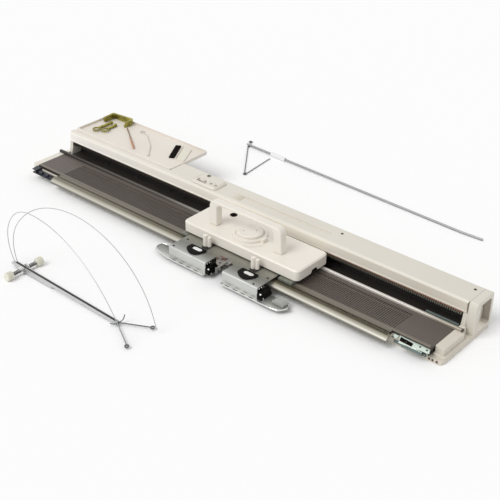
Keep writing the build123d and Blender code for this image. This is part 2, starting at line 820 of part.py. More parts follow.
def make_stitch_dial():
    """Stitch size dial: broad skirt, ribbed grip and two finger dimples."""
    low = carriage_top + slide_play
    knob = upright(ribbed(dial_radius, 0.9, 24), low + dial_skirt_height, low + dial_height)
    knob += many_sided(0, 0, low, low + dial_skirt_height, dial_skirt_radius, 40)
    knob -= disc(0, 0, low - 1, carriage_top + dial_height - 2 + shaft_play,
                 dial_boss_radius + shaft_play)
    for side in (-1, 1):
        knob -= many_sided(side * 12.5, 0, low + dial_height - 0.8, low + dial_height + 1, 1.6, 8)
    return Pos(dial_x, dial_y, 0) * Rot(0, 0, 44) * knob


def make_cam_lever():
    """Flat ring around the dial with a tab that sets the needle cams."""
    low = carriage_top + slide_play
    ring = many_sided(dial_x, dial_y, low, low + lever_height, lever_radius, 40)
    ring += strut((dial_x + 30, dial_y - 2), (dial_x + lever_reach, dial_y - 3), 13, low,
                  low + lever_height)
    ring += strut((dial_x + lever_reach - 4, dial_y - 3), (dial_x + lever_reach, dial_y - 3), 13,
                  low, low + lever_height + 4)
    return ring - disc(dial_x, dial_y, low - 1, low + 20, dial_skirt_radius + lever_play)


def make_tripper_socket():
    """Dark socket for the row counter tripper."""
    outer = tripper_radius + tripper_wall
    top = carriage_top + tripper_rim
    tube = many_sided(tripper_x, tripper_y, top - tripper_depth - 1.2, top, outer)
    tube += many_sided(tripper_x, tripper_y, carriage_top, top, outer + 0.8)
    return tube - disc(tripper_x, tripper_y, top - tripper_depth, top + 1, tripper_radius)


def make_connecting_screw(x):
    """Tall two-lobed thumb screw that clamps the sinker plate to a carriage arm."""
    low = carriage_bottom + 0.1
    high = low + thumb_height
    head = many_sided(-4.2, -1.2, low, high, thumb_radius, 14)
    head += many_sided(4.2, 1.2, low, high - 3, thumb_radius - 0.8, 14)
    head += disc(0, 0, sinker_under - 1.2, low + 2, thumb_shaft_radius)
    return Pos(x, thumb_y, 0) * head


# Sinker plate assembly

def make_sinker_plate():
    """Folded steel plate in two blocks with a notch for the yarn feeder."""
    front, thick, bend = sinker_front, sinker_thickness, sinker_bend
    fold = outline([(sinker_rear, sinker_top), (front, sinker_top), (front, guide_top),
                    (front + thick, guide_top), (front + thick, sinker_under),
                    (sinker_rear, sinker_under)], ((1, bend), (4, bend - thick)))
    plate = along_x(fold, sinker_left, notch_left) + along_x(fold, notch_right, sinker_right)
    plate += block(notch_left, notch_right, notch_rear, sinker_rear, sinker_under, sinker_top)
    for x in thumb_x:
        plate -= faceted_hole(x, thumb_y, sinker_under - 1, sinker_top + 1,
                              thumb_shaft_radius + shaft_play)
    for x, y in frame_centres:
        hole = Pos(x, y) * long_plan(oval_length + 2 * oval_play, oval_width + 2 * oval_play)
        plate -= upright(hole, sinker_under - 1, sinker_top + 1)
    for x in brush_wheels_x + rubber_wheels_x:
        plate += many_sided(x, wheel_y, 12, sinker_under, wheel_pin_radius, 12)
        plate += many_sided(x, wheel_y, 10.8, 12, wheel_pin_radius + 1.5, 12)
    return plate


def make_guide_plates():
    """Slotted bottom plates below the front wall, with swept outer tips."""
    near, far = sinker_left, sinker_right
    left = [(notch_left, -153), (near - 4, -153), (near - 21, -150), (near - 43, -142),
            (near - 48, -133), (near - 47, -119), (near - 34, -116), (notch_left, -116)]
    right = [(notch_right, -153), (far + 37, -153), (far + 53, -150), (far + 67, -130),
             (far + 49, -117), (notch_right, -117)]
    plates = []
    for points, first in ((left, near + 16), (right, notch_right + 16)):
        plate = upright(outline(points), guide_top - guide_thickness, guide_top)
        for step in range(4):
            x = first + 20 * step
            plate -= block(x - 5, x + 5, -150.5, -148.5, guide_top - 3, guide_top + 1)
        plates.append(plate)
    return Compound(children=plates)


def make_brush_frames():
    """Raised dark frames around the oval buttons, and the dark blocks that close the plate's ends."""
    points = [(-22, 5.5), (-20, 7.6), (17.5, 7.6), (19.4, 5.6), (19.2, -2), (17, -7), (12.5, -15.5),
              (9, -18.6), (2, -20.3), (-3, -19.8), (-12, -16), (-19, -11), (-22, -7.5)]
    shape = outline(points)
    shape -= long_plan(oval_length + 2 * oval_play, oval_width + 2 * oval_play)
    solids = []
    for x, y in frame_centres:
        solids.append(upright(Pos(x, y) * shape, sinker_top, frame_top))
    front = sinker_front + sinker_thickness + sinker_bend
    for end in (notch_left, sinker_right):
        solids.append(block(end - 10, end - 1.5, front, front + 13, guide_top + 3, sinker_under))
    return Compound(children=solids)


def make_brush_button(x, y):
    """Oval push button that frees the brush wheels."""
    plan = Pos(x, y)
    flange_top = sinker_under - seam
    button = upright(plan * long_plan(oval_length, oval_width), flange_top, sinker_top + oval_proud)
    button = chamfer(button.edges().group_by(Axis.Z)[-1], 0.6)
    flange = long_plan(oval_length + 4, oval_width + 4)
    return button + upright(plan * flange, flange_top - 1.2, flange_top)


def make_brush_wheel(x):
    """Brush wheel: small hub and a wider bristle ring."""
    wheel = many_sided(x, wheel_y, 16, 22, brush_wheel_radius, 24)
    wheel += many_sided(x, wheel_y, 12.3, 27, 4.0, 12)
    return wheel - disc(x, wheel_y, 10, 30, wheel_pin_radius + shaft_play)


def make_rubber_wheel(x):
    """Rubber wheel with a stepped rim."""
    wheel = many_sided(x, wheel_y, 14, 21, rubber_wheel_radius, 24)
    wheel += many_sided(x, wheel_y, 12.3, 27, 4.5, 12)
    return wheel - disc(x, wheel_y, 10, 30, wheel_pin_radius + shaft_play)


def make_yarn_feeder():
    """Bracket over the notch with the yarn hole and the gate's pin."""
    plan = [(59, -112), (75, -97), (97, -112), (97, -121), (81, -136), (74, -132)]
    feeder = upright(outline(plan), sinker_top, sinker_top + 1.4)
    feeder += many_sided(80, -127, 24, sinker_top + 0.5, 4.0, 12)
    feeder += many_sided(80, -127, 22, 24, 5.0, 12)
    feeder -= many_sided(80, -127, 20, sinker_top + 3, 2.2, 12)
    feeder += block(66, 82, -110, -107, sinker_top + 1, sinker_top + 5)
    feeder += block(64, 74, -117, -114, sinker_top + 1, sinker_top + 4)
    feeder += many_sided(gate_pin_x, gate_pin_y, sinker_top + 1, sinker_top + 5.4, wheel_pin_radius, 12)
    return feeder


def make_feeder_gate():
    """Swinging gate in front of the yarn hole."""
    low = sinker_top + 1.4 + slide_play
    gate = many_sided(gate_pin_x, gate_pin_y, low, low + 1.6, 4.0, 14)
    gate += strut((gate_pin_x, gate_pin_y - 1), (gate_pin_x + 3, -148), 4.5, low, low + 1.6)
    gate += many_sided(gate_pin_x + 3, -148, low - 8, low + 2.4, 3.4, 12)
    return gate - disc(gate_pin_x, gate_pin_y, low - 1, low + 3, wheel_pin_radius + shaft_play)


def make_clear_guide():
    """Clear plastic shoe on the right guide plate."""
    profile = outline([(220, guide_top), (246, guide_top), (246, guide_top + 3),
                       (243, guide_top + 7), (239, guide_top + 9), (224, guide_top + 9),
                       (220, guide_top + 6)])
    return along_y(profile, -136, -119)


def make_sinker_screws():
    """Low screw heads on the sinker plate."""
    heads = []
    for x, y in ((sinker_left + 11, -103), (sinker_right - 8, -106), (sinker_right - 15, -139),
                 (sinker_left + 7, -139)):
        heads.append(many_sided(x, y, sinker_top, sinker_top + 0.9, 2.4, 12))
    return Compound(children=heads)


# Mast rod

def mast_point(distance):
    """Point on the rod's straight run, and the run's direction."""
    start, end = Vector(*mast_start), Vector(*mast_bend)
    heading = (end - start).normalized()
    return start + heading * distance, heading


def make_mast_rod():
    """Steel rod with a slight bend near its lower end."""
    path = FilletPolyline(mast_start, mast_bend, mast_end, radius=60)
    return sweep(Plane(origin=path @ 0, z_dir=path % 0) * Circle(rod_radius), path=path)


def make_mast_slider():
    """Plastic clip on the rod that carries the yarn guide."""
    point, heading = mast_point(slider_at)
    across = Vector(0, 0, 1).cross(heading)
    frame = Plane(origin=point, x_dir=heading, z_dir=heading.cross(across))
    body = Box(*slider_size)
    body = chamfer(body.edges().filter_by(Axis.X), 1.2)
    body -= Rot(0, 90, 0) * Cylinder(rod_radius + shaft_play, slider_size[0] + 2)
    return frame * body


def make_yarn_guide():
    """Bent wire guide from the rod's tip to the slider, with an eyelet at each corner."""
    level = 2.0
    guide = bent_rod([(-186, 337, level), (-175, 232, level), (-268, 351, level)],
                     guide_wire_radius, 4)
    guide += bent_rod([(-268, 362, level), (-279.5, 374, level)], guide_wire_radius, 1)
    guide += strut((-268, 351), (-268, 362), 4, 0.8, 2.6)
    guide += eyelet(-281, 376, 1.0, guide_eye_radius, 2.4, 2.0)
    guide += eyelet(-177.6, 237.4, 1.0, guide_eye_radius, 2.4, 2.0)
    return guide


# Yarn tension unit

def make_tension_bar():
    """Folded channel bar with the axle of the tension discs."""
    side = [(bar_left, 15), (bar_right, 9), (bar_right, 3), (-131, 6), (-138, 2), (bar_left, 2.5)]
    bar = along_y(outline(side), bar_y - bar_width / 2, bar_y + bar_width / 2)
    hollow = [(bar_left - 1, 15 - bar_wall), (bar_right + 1, 9 - bar_wall), (bar_right + 1, 0),
              (bar_left - 1, 0)]
    bar -= along_y(outline(hollow), bar_y - bar_width / 2 + bar_wall, bar_y + bar_width / 2 - bar_wall)
    bar += block(bar_left - 14, bar_left + 1, bar_y - 1, bar_y + 8, 5, 9.0)
    reach = knob_distance + knob_length - 5
    return bar + cross_many_sided(axle_x, axle_z, bar_y - reach, bar_y + reach, axle_radius)


def tension_side(side, start, length, radius, bore):
    """Ring on the axle at a distance from the middle of the bar, toward the front or the rear."""
    near = bar_y + side * start
    far = bar_y + side * (start + length)
    y0, y1 = min(near, far), max(near, far)
    ring = cross_many_sided(axle_x, axle_z, y0, y1, radius)
    return ring - cross_many_sided(axle_x, axle_z, y0 - 1, y1 + 1, bore, 12)


def make_tension_discs():
    """Two pairs of yarn discs."""
    rings = []
    for side in (-1, 1):
        for start in (5.0, 7.5):
            rings.append(tension_side(side, start, disc_thickness, disc_radius, axle_radius + seam))
    return Compound(children=rings)


def make_tension_springs():
    """Springs between the discs and the knobs, closely wound."""
    return Compound(children=[tension_side(side, 9.0, knob_distance - 9.6, spring_radius, 2.6)
                              for side in (-1, 1)])


def make_tension_knob(side):
    """Round tension knob turning on the end of the axle."""
    near = bar_y + side * knob_distance
    far = bar_y + side * (knob_distance + knob_length)
    y0, y1 = min(near, far), max(near, far)
    knob = cross_many_sided(axle_x, axle_z, y0, y1, knob_radius, 20)
    rims = knob.edges().filter_by(lambda edge: abs(abs(edge.center().Y - bar_y - side * knob_distance
                                                       - side * knob_length / 2) - knob_length / 2) < 0.1)
    knob = chamfer(rims, 1.0)
    depth = knob_length - 2.5
    stop = near + side * depth
    return knob - cross_disc(axle_x, axle_z, min(near - side, stop), max(near - side, stop),
                             axle_radius + shaft_play)


def bow_wire(start, end, heading, arcs, tail):
    """Springy wire bowed up from the floor, drawn as tangent arcs in an upright plane."""
    across = Vector(end[0] - start[0], end[1] - start[1], 0).normalized()
    frame = Plane(origin=(start[0], start[1], 0), x_dir=across, z_dir=across.cross(Vector(0, 0, 1)))
    point = Vector(0, 10, 0)
    tangent = Vector(cos(radians(heading)), sin(radians(heading)), 0)
    pieces = []
    for radius, sweep_angle in arcs:
        arc = JernArc(start=point, tangent=tangent, radius=radius, arc_size=-sweep_angle)
        pieces.append(arc)
        point = arc @ 1
        tangent = arc % 1
    pieces.append(Line(point, point + tangent * tail))
    path = frame * Wire([edge for piece in pieces for edge in piece.edges()])
    return sweep(Plane(origin=path @ 0, z_dir=path % 0) * RegularPolygon(wire_radius, 6), path=path)


def make_tension_wires():
    """The two long bowed wires that take up slack yarn."""
    front = bow_wire((-258, -362), (114, -405), 125.3,
                     ((75.5, 62.5), (115.8, 52.3), (277.4, 70.3)), 8.0)
    rear = bow_wire((-252, -359.5), (108, -339), 108.6,
                    ((97.3, 55.1), (193.0, 36.7), (202.6, 92.0)), 18.0)
    return Compound(children=[front, rear])


def make_tension_arms():
    """Yarn guide arms at the bar's far end, with their eyelets and hooks."""
    arms = bent_rod([(50, -365, 6), (64, -357.5, 6), (102.5, -336.2, 5.2)], 1.2, 8)
    arms += bent_rod([(50, -369, 6), (64, -377, 6), (109.3, -402, 5.2)], 1.2, 8)
    arms += strut((49.8, -371), (49.8, -363), 3.4, 4.6, 7.4)
    arms += bent_rod([(50, -364, 6), (49, -354, 7), (51, -351, 17)], 1.0, 2.5)
    arms += bent_rod([(50, -370, 6), (44, -376, 6), (38, -376, 4)], 1.0, 1.5)
    arms += eyelet(105.5, -334.5, 4.0, eye_radius, 2.4, 2.4)
    return arms + eyelet(112, -404, 4.0, eye_radius, 2.4, 2.4)


def main():
    nodes = {
        "base_tray": make_base_tray(),
        "end_housing_right": make_end_housing_right(),
        "end_housing_left": make_end_housing_left(),
        "needle_bed": make_needle_bed(),
        "needles": make_needles(),
        "gate_pegs": make_gate_pegs(),
        "retainer_bar": make_retainer_bar(),
        "front_rail": make_front_rail(),
        "rear_rail": make_rear_rail(),
        "stop_plates": make_stop_plates(),
        "rear_cover": make_rear_cover(),
        "rear_channel": make_rear_channel(),
        "channel_bar": make_channel_bar(),
        "cover_screws": make_cover_screws(),
        "console_cover": make_console_cover(),
        "console_window": window_block(),
        "mast_socket": make_mast_socket(),
        "tool_tray": make_tool_tray(),
        "clamp_frames": make_clamp_frames(),
        "clamp_screws": make_clamp_screws(),
        "latch_tool": make_latch_tool(),
        "transfer_tool": make_transfer_tool(),
        "needle_pusher": make_needle_pusher(),
        "carriage_base": make_carriage_base(),
        "cam_plates": make_cam_plates(),
        "front_shoes": make_front_shoes(),
        "carriage_cover": make_carriage_cover(),
        "carriage_handle": make_carriage_handle(),
        "stitch_dial": make_stitch_dial(),
        "cam_lever": make_cam_lever(),
        "tripper_socket": make_tripper_socket(),
        "connecting_screw_left": make_connecting_screw(thumb_x[0]),
        "connecting_screw_right": make_connecting_screw(thumb_x[1]),
        "sinker_plate": make_sinker_plate(),
        "guide_plates": make_guide_plates(),
        "brush_frames": make_brush_frames(),
        "brush_button_left": make_brush_button(*frame_centres[0]),
        "brush_button_right": make_brush_button(*frame_centres[1]),
        "brush_wheel_left": make_brush_wheel(brush_wheels_x[0]),
        "brush_wheel_right": make_brush_wheel(brush_wheels_x[1]),
        "rubber_wheel_left": make_rubber_wheel(rubber_wheels_x[0]),
        "rubber_wheel_right": make_rubber_wheel(rubber_wheels_x[1]),
        "yarn_feeder": make_yarn_feeder(),
        "feeder_gate": make_feeder_gate(),
        "clear_guide": make_clear_guide(),
        "sinker_screws": make_sinker_screws(),
        "mast_rod": make_mast_rod(),
        "mast_slider": make_mast_slider(),
        "yarn_guide": make_yarn_guide(),
        "tension_bar": make_tension_bar(),
        "tension_discs": make_tension_discs(),
        "tension_springs": make_tension_springs(),
        "tension_knob_front": make_tension_knob(-1),
        "tension_knob_rear": make_tension_knob(1),
        "tension_wires": make_tension_wires(),
        "tension_arms": make_tension_arms(),
    }
    for number, x in enumerate(button_x, start=1):
        nodes[f"console_button_{number}"] = make_console_button(x)
    os.makedirs("parts", exist_ok=True)
    for name, shape in nodes.items():
        export_step(shape, f"parts/{name}.step")
        print(name, len(shape.solids()), round(shape.volume, 1))


main()
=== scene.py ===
import json
from math import cos, pi, radians, sin

import bmesh
import bpy
from mathutils import Matrix, Vector


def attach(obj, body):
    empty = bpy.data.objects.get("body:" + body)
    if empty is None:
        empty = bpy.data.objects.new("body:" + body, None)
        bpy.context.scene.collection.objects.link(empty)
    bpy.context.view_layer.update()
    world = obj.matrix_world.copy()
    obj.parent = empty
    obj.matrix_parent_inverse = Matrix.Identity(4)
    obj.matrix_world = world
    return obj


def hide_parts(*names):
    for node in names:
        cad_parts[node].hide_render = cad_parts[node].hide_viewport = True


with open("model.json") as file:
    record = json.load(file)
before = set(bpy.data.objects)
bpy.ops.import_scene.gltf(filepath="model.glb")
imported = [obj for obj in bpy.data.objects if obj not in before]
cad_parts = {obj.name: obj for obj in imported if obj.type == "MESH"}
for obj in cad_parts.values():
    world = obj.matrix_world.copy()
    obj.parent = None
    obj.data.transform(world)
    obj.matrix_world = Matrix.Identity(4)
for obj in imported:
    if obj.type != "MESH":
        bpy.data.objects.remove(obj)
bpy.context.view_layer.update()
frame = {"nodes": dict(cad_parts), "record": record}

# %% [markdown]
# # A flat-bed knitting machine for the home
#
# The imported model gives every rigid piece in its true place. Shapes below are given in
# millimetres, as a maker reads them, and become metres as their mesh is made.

MM = 0.001
nodes = frame["nodes"]

# %% [markdown]
# ## Where the viewer stands
#
# The machine is seen from its front right corner, from well above, with a long lens. A lens of
# about 74 mm on a 36 mm sensor gives the gentle perspective. The camera is turned a third of a
# degree about its own axis, as a hand-held one would be.

# %% Camera
VIEW_AZIMUTH = radians(41.04)
VIEW_ELEVATION = radians(31.27)
VIEW_ROLL = radians(0.32)
VIEW_PLACE = Vector((1.22774, -1.35749, 1.08597))
LENS_MM = 73.86
SENSOR_MM = 36.0
NEAR_CLIP = 0.05


def add_object(name, data):
    """Object for a mesh, light, curve or camera, linked to the scene."""
    added = bpy.data.objects.new(name, data)
    bpy.context.scene.collection.objects.link(added)
    return added


def aim_camera():
    """A camera whose axes follow from the three view angles."""
    back = Vector((sin(VIEW_AZIMUTH) * cos(VIEW_ELEVATION),
                   -cos(VIEW_AZIMUTH) * cos(VIEW_ELEVATION), sin(VIEW_ELEVATION)))
    level = Vector((cos(VIEW_AZIMUTH), sin(VIEW_AZIMUTH), 0))
    right = level * cos(VIEW_ROLL) + back.cross(level) * sin(VIEW_ROLL)
    data = bpy.data.cameras.new("viewer")
    data.lens = LENS_MM
    data.sensor_width = SENSOR_MM
    data.clip_start = NEAR_CLIP
    camera = add_object("viewer", data)
    turn = Matrix((right, back.cross(right), back)).transposed().to_4x4()
    camera.matrix_world = Matrix.Translation(VIEW_PLACE) @ turn
    return camera


bpy.context.scene.camera = aim_camera()
bpy.context.scene.view_settings.view_transform = "Standard"
print("camera at", [round(v, 3) for v in VIEW_PLACE])

# %% [markdown]
# ## Helpers for node trees
#
# The sky, the finishes and the patterns are all trees of nodes. One helper adds a node with its
# settings and the values of its inputs, and one joins sockets. They keep each tree short enough to
# be read like a drawing.

# %% Add a node, join sockets
WHITE = (1.0, 1.0, 1.0, 1.0)


def add_node(tree, kind, inputs=None, **settings):
    """Node of one kind, with its settings and the values of its inputs."""
    node = tree.nodes.new(kind)
    for name, value in settings.items():
        setattr(node, name, value)
    for name, value in (inputs or {}).items():
        node.inputs[name].default_value = value
    return node


def join(tree, *links):
    """Link each pair of sockets, an output and then an input."""
    for start, end in links:
        tree.links.new(start, end)


print("two helpers for trees of nodes")

# %% [markdown]
# ## Sky, sun and floor
#
# Pale plastic shows its shape only through soft shade. A wide sun from the front left and an even
# sky give that, on a plain white floor. The sky is plain white to the camera, in reflections and
# through clear plastic, so that bright steel has something pale to mirror.

# %% Sky
SKY_LEVEL = 0.66


def white_sky():
    """Soft light on the machine, and plain white for what is seen or mirrored."""
    world = bpy.data.worlds.new("sky")
    world.use_nodes = True
    tree = world.node_tree
    tree.nodes.clear()
    rays = add_node(tree, "ShaderNodeLightPath")
    seen = add_node(tree, "ShaderNodeMath", operation="MAXIMUM")
    mirrored = add_node(tree, "ShaderNodeMath", operation="MAXIMUM")
    light = add_node(tree, "ShaderNodeBackground", {"Color": WHITE, "Strength": SKY_LEVEL})
    plain = add_node(tree, "ShaderNodeBackground", {"Color": WHITE, "Strength": 1.0})
    mix = add_node(tree, "ShaderNodeMixShader")
    out = add_node(tree, "ShaderNodeOutputWorld")
    join(tree, (rays.outputs["Is Camera Ray"], seen.inputs[0]),
         (rays.outputs["Is Transmission Ray"], seen.inputs[1]),
         (seen.outputs[0], mirrored.inputs[0]),
         (rays.outputs["Is Glossy Ray"], mirrored.inputs[1]),
         (mirrored.outputs[0], mix.inputs[0]), (light.outputs[0], mix.inputs[1]),
         (plain.outputs[0], mix.inputs[2]), (mix.outputs[0], out.inputs["Surface"]))
    return world


bpy.context.scene.world = white_sky()
print("sky level", SKY_LEVEL)

# %% Sun and floor
SUN_LEVEL = 1.4
SUN_SIZE = radians(34)
SUN_FROM = Vector((-0.25, -0.75, 1.0))
FLOOR_HALF = 12.0
FLOOR_LOOK = {"Base Color": (0.97, 0.97, 0.97, 1), "Roughness": 0.9, "Specular IOR Level": 0.0}


def wide_sun():
    """A sun so wide that its shadows have soft edges."""
    data = bpy.data.lights.new("sun", "SUN")
    data.energy = SUN_LEVEL
    data.angle = SUN_SIZE
    sun = add_object("sun", data)
    sun.rotation_mode = "QUATERNION"
    sun.rotation_quaternion = SUN_FROM.to_track_quat("Z", "Y")


def pale_floor():
    """A large matt square under the machine."""
    data = bpy.data.meshes.new("floor")
    corners = [(x * FLOOR_HALF, y * FLOOR_HALF, 0) for x, y in ((-1, -1), (1, -1), (1, 1), (-1, 1))]
    data.from_pydata(corners, [], [(0, 1, 2, 3)])
    floor = add_object("floor", data)
    material = bpy.data.materials.new("floor_white")
    material.use_nodes = True
    for name, value in FLOOR_LOOK.items():
        material.node_tree.nodes["Principled BSDF"].inputs[name].default_value = value
    data.materials.append(material)


wide_sun()
pale_floor()
print("sun level", SUN_LEVEL, "and a floor of", 2 * FLOOR_HALF, "m")

# %% [markdown]
# ## How a finish is made
#
# Every finish on the machine is either moulded plastic or metal sheet, rod and paint. Each one is
# made from the same few parts: a slow noise that moves the colour a little, a fine noise that moves
# the roughness, and a bump. Stretching the fine noise along one axis turns moulded grain into the
# brush marks of drawn steel. The patterns read Object coordinates, so they stay put on a piece.

# %% Paint values and noise
def from_srgb(red, green, blue):
    """Linear colour from 0 to 255 paint values."""
    linear = []
    for value in (red / 255, green / 255, blue / 255):
        linear.append(value / 12.92 if value <= 0.04045 else ((value + 0.055) / 1.055) ** 2.4)
    return (*linear, 1.0)


def shade(colour, factor):
    """Colour made lighter or darker, and never more than full."""
    return (*(min(1.0, channel * factor) for channel in colour[:3]), 1.0)


def add_noise(tree, vector, scale, detail):
    """Noise of one scale over a surface."""
    noise = add_node(tree, "ShaderNodeTexNoise", {"Scale": scale, "Detail": detail})
    join(tree, (vector, noise.inputs["Vector"]))
    return noise.outputs["Fac"]


print("mid grey paint in linear light:", round(from_srgb(128, 128, 128)[0], 3))

# %% [markdown]
# ## Painted light and shade that change along a piece
#
# Along a machine over a metre long the light is not the same at both ends, and round, sunk and
# shiny forms take it unevenly. A colour ramp along one axis paints that light and shade into the
# colour, and a step in height paints the shade in a groove. It is worked out from the place on the
# piece, so that it stays the same from every side.

# %% Ramp of painted light along an axis, and painted shade below a level
SHADE_EDGE = 0.0004


def fade_along(tree, place, stops, axis):
    """Painted light and shade that change along an axis; a stop is a place in metres and its paint
    values.
    """
    first, last = stops[0][0], stops[-1][0]
    axes = add_node(tree, "ShaderNodeSeparateXYZ")
    reach = add_node(tree, "ShaderNodeMapRange", {"From Min": first, "From Max": last})
    ramp = add_node(tree, "ShaderNodeValToRGB")
    join(tree, (place, axes.inputs[0]), (axes.outputs[axis], reach.inputs["Value"]),
         (reach.outputs["Result"], ramp.inputs["Fac"]))
    marks = ramp.color_ramp.elements
    for number, (reached, colour) in enumerate(stops):
        at = (reached - first) / (last - first)
        if number == 0:
            mark = marks[0]
        elif number == len(stops) - 1:
            mark = marks[-1]
        else:
            mark = marks.new(at)
        mark.position = at
        mark.color = from_srgb(*colour)
    return ramp.outputs["Color"]


def painted_groove_shade(tree, place, paint, level, share):
    """Paint times a share below a level in metres: painted shade in a groove."""
    axes = add_node(tree, "ShaderNodeSeparateXYZ")
    step = add_node(tree, "ShaderNodeMapRange",
                    {"From Min": level - SHADE_EDGE, "From Max": level, "To Min": share})
    scale = add_node(tree, "ShaderNodeVectorMath", operation="SCALE")
    join(tree, (place, axes.inputs[0]), (axes.outputs["Z"], step.inputs["Value"]),
         (paint, scale.inputs[0]), (step.outputs["Result"], scale.inputs["Scale"]))
    return scale.outputs[0]


print("a groove's shade starts over", SHADE_EDGE / MM, "mm")

# %% [markdown]
# ## One recipe for every finish
#
# Moulded plastic, paint and plate differ only in their numbers: how metallic and how rough they
# are, how coarse the grain is and which way it runs. So one function takes those numbers and builds
# the whole tree. A number that is the same all over the surface goes straight on the shader.

# %% Patches of paint
PATCH_DETAIL = 3.0
DARK_PATCH, LIGHT_PATCH = 0.3, 0.7


def mottled(tree, place, colour, mottle, patches):
    """Paint in slow patches, a little darker and lighter than the colour."""
    ramp = add_node(tree, "ShaderNodeValToRGB")
    dark, light = ramp.color_ramp.elements
    dark.position, dark.color = DARK_PATCH, shade(colour, 1 - mottle)
    light.position, light.color = LIGHT_PATCH, shade(colour, 1 + mottle)
    join(tree, (add_noise(tree, place, patches, PATCH_DETAIL), ramp.inputs["Fac"]))
    return ramp.outputs["Color"]


print("patches of detail", PATCH_DETAIL)

# %% A finish from two noises and a bump
GRAIN_DETAIL = 2.0


def make_finish(name, colour, metallic=0.0, roughness=0.42, spread=0.08, grain=900.0,
                stretch=(1, 1, 1), bump=0.08, depth=0.0002, mottle=0.035, patches=9.0, coat=0.0,
                specular=0.5, axis="X", clear=0.0, below=None):
    """Procedural finish; the colour is paint values, or a list of stops along the axis."""
    material = bpy.data.materials.new(name)
    material.use_nodes = True
    tree = material.node_tree
    shader = tree.nodes["Principled BSDF"]
    for socket, value in (("Metallic", metallic), ("Coat Weight", coat),
                          ("Specular IOR Level", specular), ("Transmission Weight", clear)):
        shader.inputs[socket].default_value = value
    place = add_node(tree, "ShaderNodeTexCoord").outputs["Object"]
    mapping = add_node(tree, "ShaderNodeMapping", {"Scale": stretch})
    join(tree, (place, mapping.inputs["Vector"]))
    fades = isinstance(colour, list)
    paint = mottled(tree, place, WHITE if fades else from_srgb(*colour), mottle, patches)
    if fades:
        mix = add_node(tree, "ShaderNodeMix", {"Factor": 1.0}, data_type="RGBA",
                       blend_type="MULTIPLY")
        join(tree, (fade_along(tree, place, colour, axis), mix.inputs[6]),
             (paint, mix.inputs[7]))
        paint = mix.outputs[2]
    # Painted shade: below darkens the colour under a level, as the shade in a groove.
    if below:
        paint = painted_groove_shade(tree, place, paint, *below)
    fine = add_noise(tree, mapping.outputs["Vector"], grain, GRAIN_DETAIL)
    span = add_node(tree, "ShaderNodeMapRange",
                    {"To Min": roughness - spread, "To Max": roughness + spread})
    relief = add_node(tree, "ShaderNodeBump", {"Strength": bump, "Distance": depth})
    join(tree, (paint, shader.inputs["Base Color"]), (fine, span.inputs["Value"]),
         (span.outputs["Result"], shader.inputs["Roughness"]), (fine, relief.inputs["Height"]),
         (relief.outputs["Normal"], shader.inputs["Normal"]))
    return material


print("grain of detail", GRAIN_DETAIL)

# %% Make the finishes of a table
finishes = {}


def add_finishes(table):
    """Make each finish of a table and keep it by name."""
    for name, look in table.items():
        finishes[name] = make_finish(name, **look)
    print(len(table), "finishes:", ", ".join(table))


print("no finish yet:", len(finishes))

# %% [markdown]
# ## Moulded plastic
#
# The housing, tray and carriage are cream plastic with a fine moulded grain. The long cover has
# painted light that gets greyer to the right, and its fascia is painted lighter, so both have a
# ramp. The trough slope and the recess of the carrying grip have painted shade, darker where less
# light gets in, and the front of the grip recess is painted lighter.

# %% Creams, and the small plastic pieces
# Painted light: the long cover is painted a little darker towards the right.
housing_painted_light_stops = [(-0.55, (226, 220, 209)), (0.55, (215, 210, 198))]
# Painted light: the fascia is painted lighter than the housing, and darker towards the right.
fascia_painted_light_stops = [(-0.53, (255, 250, 243)), (-0.1, (248, 242, 229)), (0.45, (214, 207, 193))]
# Painted light and shade: the grip recess is painted lighter than the housing at its front and
# darker towards its back.
grip_painted_light_and_shade_stops = [(0.030, (255, 251, 243)), (0.061, (255, 250, 240)), (0.0700, (214, 207, 195)),
             (0.0738, (160, 152, 141)), (0.078, (142, 134, 124))]
# Painted shade: the slope at the left end of the trough is painted darker towards its foot.
trough_painted_shade_stops = [(-0.036, (219, 213, 200)), (-0.025, (208, 203, 186)), (-0.016, (198, 193, 172)),
               (-0.013, (206, 201, 184))]
add_finishes({
    "housing_cream": dict(colour=housing_painted_light_stops),
    "fascia_painted_light": dict(colour=fascia_painted_light_stops, roughness=0.45),
    "trough_painted_shade": dict(colour=trough_painted_shade_stops, roughness=0.5),
    "grip_painted_light_and_shade": dict(colour=grip_painted_light_and_shade_stops, roughness=0.5, axis="Y"),
    "base_cream": dict(colour=(212, 205, 192), roughness=0.5),
    "carriage_cream": dict(colour=(231, 225, 215), roughness=0.36),
    "tray_cream": dict(colour=(226, 219, 209), roughness=0.5),
    "knob_cream": dict(colour=(230, 228, 212), roughness=0.4),
    "slider_white": dict(colour=(232, 232, 234), roughness=0.34),
    "clear_shoe": dict(colour=(206, 206, 202), roughness=0.15, coat=0.4, clear=0.45),
    "button_grey": dict(colour=(172, 165, 152), roughness=0.45),
    "card_green": dict(colour=(222, 219, 203), roughness=0.45),
    "seam_brown": dict(colour=(132, 120, 104), roughness=0.5),
    "dot_brown": dict(colour=(150, 138, 124), roughness=0.5),
    "cap_brown": dict(colour=(70, 60, 52), roughness=0.5),
    "mast_hole": dict(colour=(112, 110, 104), roughness=0.5),
    "window_pale": dict(colour=(176, 168, 160), roughness=0.2),
    "window_dark": dict(colour=(128, 112, 102), roughness=0.15, coat=0.3),
})
